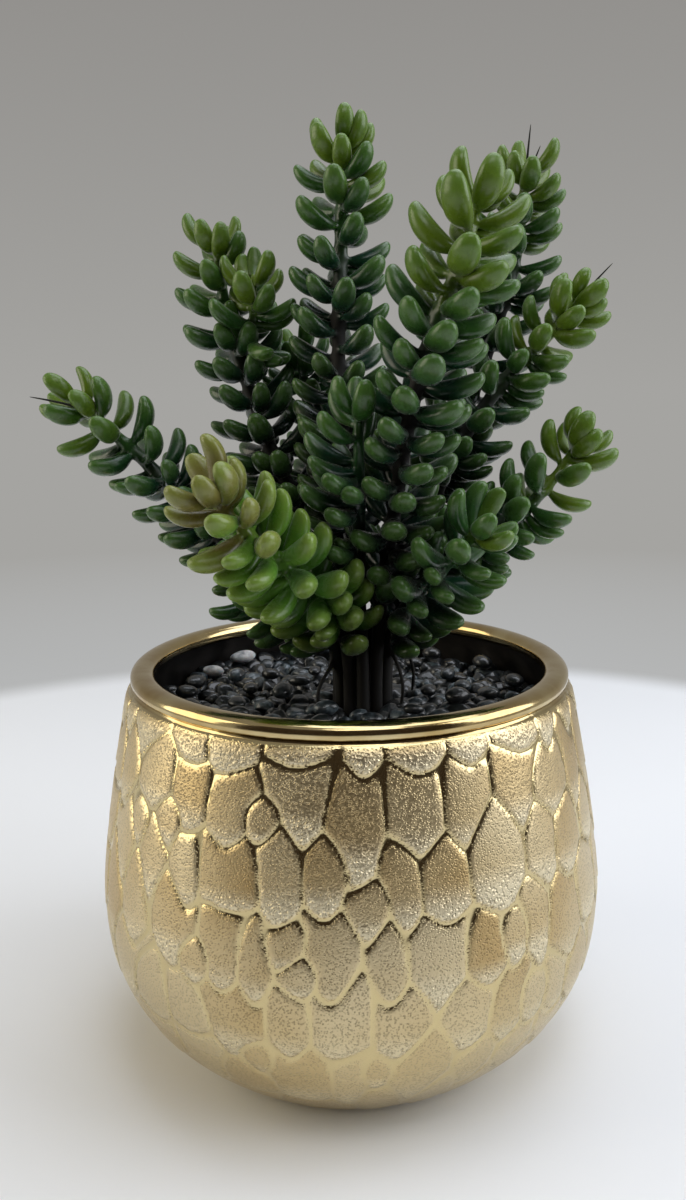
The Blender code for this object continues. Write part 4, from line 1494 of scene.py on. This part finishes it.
def draw_stem(skin, stem):
    """The rings of a stem, with every leaf, root and bristle drawn out of a facet."""
    rings = []
    for centre, radius, to_tip, (_, side, cross) in zip(stem.centres, stem.radii, stem.to_tip, stem.frames):
        woodiness = float(smooth_step(to_tip, *TURNS_WOODY))
        facts = (0.0, min(1.0, to_tip / AGE_REACH), 0.5, woodiness)
        turns = [2 * math.pi * facet / STEM_SIDES for facet in range(STEM_SIDES)]
        spokes = [side * math.cos(turn) + cross * math.sin(turn) for turn in turns]
        rings.append([skin.point(centre + spoke * radius * STEM_CAGE, facts) for spoke in spokes])
    skin.shape.faces.new(rings[0][::-1])
    for band, (lower, upper) in enumerate(zip(rings, rings[1:])):
        for facet in range(STEM_SIDES):
            after = (facet + 1) % STEM_SIDES
            corners = [lower[facet], lower[after], upper[after], upper[facet]]
            if (band, facet) in stem.leaves:
                skin.limb(corners, stem.leaves[(band, facet)]["rows"])
            elif (band, facet) in stem.hairs:
                add_hair(skin, corners, *stem.hairs[(band, facet)])
            else:
                skin.shape.faces.new(corners)
    tip = skin.point(stem.centres[-1] + stem.frames[-1][0] * TIP_RADIUS, (0.5, 0.0, 0.5, 0.0))
    for facet in range(STEM_SIDES):
        skin.shape.faces.new([rings[-1][facet], rings[-1][(facet + 1) % STEM_SIDES], tip])


print("faces for limbs on the example stem:", STEM_SIDES * (len(example.centres) - 1))

# %% [markdown]
# ### Growing all the stems
#
# Every stem is planned before any leaf is set, so leaves can keep clear of all the stems. The front ones
# grow first and find the most room.

# %% Planning the stems
def above_rim(point):
    x, y, height = point
    return (x * MM, y * MM, POT_HEIGHT + height * MM)


def plan_stem(plan, number):
    """A stem from its foot in the mix, up through the bundle and along its route."""
    foot_x, foot_y = BUNDLE_CENTRE
    if plan["slot"] is not None:
        turn = FIRST_SLOT_TURN + plan["slot"] * 2 * math.pi / BUNDLE_SLOTS
        foot_x += BUNDLE_RING * math.cos(turn)
        foot_y += BUNDLE_RING * math.sin(turn)
    foot = (foot_x, foot_y, SOIL_TOP - HOLE_DEPTH + CLEARANCE)
    middle = (foot_x, foot_y, SOIL_TOP)
    collar = (foot_x, foot_y, GRAVEL_TOP + COLLAR_ABOVE_GRAVEL)
    route = [above_rim(point) for point in plan["route"]]
    bare = GRAVEL_TOP - foot[2] + plan["bare"] * MM
    crowding = plan.get("crowding", 1.0)
    return Stem([foot, middle, collar] + route, bare, plan["leaf"], number * FIRST_LEAF_TURN, crowding)


def plan_side_shoot(parent):
    ring = int(SIDE_SHOOT["at"] * len(parent.centres))
    start = parent.centres[ring]
    tip = np.array(above_rim(SIDE_SHOOT["tip"]))
    elbow = start + (tip - start) * SIDE_SHOOT["elbow"]
    shoot = Stem([start, elbow, tip], SIDE_SHOOT["bare"] * MM, SIDE_SHOOT["leaf"], FIRST_LEAF_TURN)
    shoot.radii *= SIDE_SHOOT["thinness"]
    return shoot


lengths = [plan_stem(plan, 0).length / MM for plan in STEMS.values()]
print(f"stems from foot to tip: {min(lengths):.0f} to {max(lengths):.0f} mm")

# %% [markdown]
# ### Where roots and bristles go
#
# An aerial root leaves the bare foot of a stem a little above the gravel, on the side that faces its
# landing place. A bristle needs a free face near the tip, so it's planned after the leaves.

# %% Planning roots and bristles
ROOT_RADIUS = 0.55 * MM
ROOT_BOW = 4 * MM
ROOT_END = 1.1 * MM
BRISTLE_RADIUS = 0.45 * MM
BRISTLE_THINS = (1.0, 0.8, 0.6, 0.3)
WOODY = (0.5, 1.0, 0.5, 1.0)


def plan_roots(stem, plan):
    """Each aerial root leaves the facet of the bare stem that faces its landing place."""
    band = int(np.searchsorted(stem.centres[:, 2], GRAVEL_TOP + COLLAR_ABOVE_GRAVEL))
    for order, (x, y) in enumerate(plan.get("roots", [])):
        end = (x * MM, y * MM, GRAVEL_TOP + ROOT_END)
        toward = np.array(end) - stem.centres[band - order]
        toward[2] = 0.0
        toward /= np.linalg.norm(toward)
        _, side, cross = stem.frames[band - order]
        facet = stem.facet_towards(math.atan2(toward.dot(cross), toward.dot(side)) % (2 * math.pi))
        start = (stem.centres[band - order] + stem.centres[band - order + 1]) / 2
        points = root_points(start, {"end": end, "outward": toward, "bow": ROOT_BOW})
        stem.hairs[(band - order, facet)] = (points, [ROOT_RADIUS] * len(points), WOODY)


def plan_bristles(stem, plan):
    """Bristles leave free facets just under the tip."""
    for order, reach in enumerate(plan.get("bristles", [])):
        band = len(stem.centres) - 4 - 2 * order
        _, side, cross = stem.frames[band]
        reach = np.array(reach, float) * MM
        facet = stem.facet_towards(math.atan2(reach.dot(cross), reach.dot(side)) % (2 * math.pi))
        while (band, facet) in stem.leaves:
            facet = (facet + 1) % STEM_SIDES
        points = bristle_points(stem.centres[band + 1], reach)
        radii = BRISTLE_RADIUS * np.array(BRISTLE_THINS)
        stem.hairs[(band, facet)] = (points, radii, WOODY)


def shape_leaves(stem, dice):
    """The loops of every leaf. Their small differences come from dice of their own."""
    for leaf in stem.leaves.values():
        leaf["rows"] = leaf_rows(leaf, dice)


print("aerial roots to grow:", sum(len(plan.get("roots", [])) for plan in STEMS.values()))
print("bristles to grow:", sum(len(plan.get("bristles", [])) for plan in STEMS.values()))

# %% [markdown]
# ### All stems together
#
# A stem's leaves keep clear of every other stem and its leaves. The stem that has a side shoot is drawn
# with it as one piece.

# %% Growing the plant
def grow_plant(dice):
    """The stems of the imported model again, with the same draws of the dice in the same order."""
    stems = {name: plan_stem(plan, number) for number, (name, plan) in enumerate(STEMS.items())}
    shoot = plan_side_shoot(stems[SIDE_SHOOT["grows_from"]])
    balls = {name: np.empty((0, 4)) for name in stems}
    for name, stem in stems.items():
        others = [stem_balls(other) for key, other in stems.items() if key != name]
        others += [rows for key, rows in balls.items() if key != name]
        if name == SIDE_SHOOT["grows_from"]:
            balls[name] = grow_leaves(shoot, balls[name], np.vstack(others), dice)
        balls[name] = grow_leaves(stem, balls[name], np.vstack(others), dice)
    filler_dice = np.random.default_rng(4)
    for name, stem in stems.items():
        others = [stem_balls(other) for key, other in stems.items() if key != name]
        others += [rows for key, rows in balls.items() if key != name]
        if name == SIDE_SHOOT["grows_from"]:
            balls[name] = fill_gaps(shoot, balls[name], np.vstack(others), filler_dice)
        balls[name] = fill_gaps(stem, balls[name], np.vstack(others), filler_dice)
    return stems, shoot


def draw_plant(stems, shoot, materials):
    dice = np.random.default_rng(12)
    for name, stem in stems.items():
        skin = Skin()
        for shown in [stem, shoot] if name == SIDE_SHOOT["grows_from"] else [stem]:
            shape_leaves(shown, dice)
            if shown is stem:
                plan_roots(stem, STEMS[name])
                plan_bristles(stem, STEMS[name])
            draw_stem(skin, shown)
        mesh = mesh_of(f"grown_{name}", skin.shape)
        mesh.shade_smooth()
        round_over(add_piece(f"grown_{name}", mesh, [materials[name]], [name]))
        print(f"{name}: {len(stem.leaves)} leaves, {stem.length / MM:.0f} mm long")


# %% [markdown]
# ### Leaf skin
#
# A jelly-bean leaf is a bag of water in a waxed skin. Light goes in, turns green, and comes out a few
# millimetres away, which is why the thin ends glow. Young leaves near the growing tip are yellow-green.
# Every leaf is painted paler towards its end, partly its own colour and partly a painted glow of that
# light. Further down the stem leaves go deep bluish green and the oldest nearly black, partly with age
# and partly as painted shade of the bundle's dark core. Wax dust gives the upper faces a milky bloom.
# Old stems are dark and woody.

# %% Leaf colour
FRESHNESS_SHIFT = 0.4
# The darkest, old greens are partly painted shade of the bundle's dark core.
GREEN = {"young": "#5C741C", "fresh": "#2A4F1A", "grown": "#103622", "old": "#06130D", "end": "#5A7E38"}
LIME = {"young": "#726A36", "fresh": "#5E8A2C", "grown": "#4C7C28", "old": "#1E4A1E", "end": "#8A9A4A"}


def leaf_colour(tree, place, facts, greens, freshness_and_shade):
    """Greens by age and partly painted shade, with pale ends partly a painted glow, and bark where woody."""
    mottle = add(tree, "ShaderNodeTexNoise", {"Vector": place, "Scale": per_metre(7.0), "Detail": 3.0})
    tone = add(tree, "ShaderNodeMath", {0: facts["leaf_tone"], 1: mottle.outputs["Fac"]}, operation="ADD")
    shift = add(
        tree,
        "ShaderNodeMapRange",
        {"Value": tone, "From Min": 0.2, "From Max": 1.8, "To Min": -0.16, "To Max": 0.16},
    )
    age = add(tree, "ShaderNodeMath", {0: facts["leaf_age"], 1: shift}, operation="ADD")
    # Down the stem, and on stems set dark, the green goes towards the old one: partly age, partly painted
    # shade.
    younger = freshness_and_shade * FRESHNESS_SHIFT
    age_and_shade = add(tree, "ShaderNodeMath", {0: age, 1: younger}, operation="SUBTRACT", use_clamp=True)
    ages = [(0.0, greens["young"]), (0.14, greens["fresh"]), (0.42, greens["grown"]), (1.0, greens["old"])]
    body = add(tree, "ShaderNodeValToRGB", {"Fac": age_and_shade}, stops=ages)
    # Leaf ends go towards a paler green: partly the leaf's own colour, partly a painted glow of light through
    # the thin ends.
    pale_end_and_glow_share = add(
        tree,
        "ShaderNodeMapRange",
        {"Value": facts["leaf_share"], "From Min": 0.55, "From Max": 1.0, "To Min": 0.0, "To Max": 0.5},
    )
    ends_paled_and_glowing = add(
        tree,
        "ShaderNodeMix",
        {"Factor": pale_end_and_glow_share, "A": body.outputs["Color"], "B": linear(greens["end"])},
        data_type="RGBA",
    )
    return add(
        tree,
        "ShaderNodeMix",
        {"Factor": facts["woody"], "A": socket_of(ends_paled_and_glowing.outputs, "Result"), "B": linear("#12100C")},
        data_type="RGBA",
    )


for kind, greens in (("green", GREEN), ("lime", LIME)):
    print(kind, "leaves from young to old:", *greens.values())

# %% [markdown]
# The wax makes a satin gloss that is never quite even, and bark is dull. Every stem has its own skin,
# because each is fresher or older than the next and some stand in the bundle's shade: a positive setting
# shifts all its leaves towards their young colour, and a negative one towards their old colour, which on
# the low and back stems is partly painted shade.

# %% Leaf skin
def leaf_skin(name, greens, freshness_and_shade):
    material, tree, shader = start_material(
        f"waxed leaf skin, {name}",
        Subsurface_Weight=0.18,
        Subsurface_Scale=2.5 * MM,
        Subsurface_Radius=(0.8, 1.0, 0.3),
        Specular_IOR_Level=0.45,
        Sheen_Weight=0.16,
        Sheen_Roughness=0.35,
    )
    facts = {}
    for layer in FACE_LAYERS:
        facts[layer] = add(tree, "ShaderNodeAttribute", attribute_name=layer).outputs["Fac"]
    place = add(tree, "ShaderNodeTexCoord").outputs["Object"]
    wax = add(tree, "ShaderNodeTexNoise", {"Vector": place, "Scale": per_metre(3.0), "Detail": 6.0})
    rough = add(
        tree,
        "ShaderNodeMapRange",
        {"Value": wax.outputs["Fac"], "From Min": 0.3, "From Max": 0.7, "To Min": 0.18, "To Max": 0.36},
    )
    bark_rough = add(tree, "ShaderNodeMath", {0: facts["woody"], 1: 0.75}, operation="MULTIPLY")
    rough = add(tree, "ShaderNodeMath", {0: rough, 1: bark_rough}, operation="MAXIMUM")
    bump = add(
        tree,
        "ShaderNodeBump",
        {"Height": wax.outputs["Fac"], "Strength": 0.35, "Distance": 0.15 * MM},
    )
    colour = leaf_colour(tree, place, facts, greens, freshness_and_shade)
    connect(tree, shader, Base_Color=colour, Roughness=rough, Normal=bump)
    return material


skins = {}
for name, plan in STEMS.items():
    skins[name] = leaf_skin(name, LIME if "lime" in name else GREEN, plan["fresh"])
stems, shoot = grow_plant(np.random.default_rng(23))
draw_plant(stems, shoot, skins)
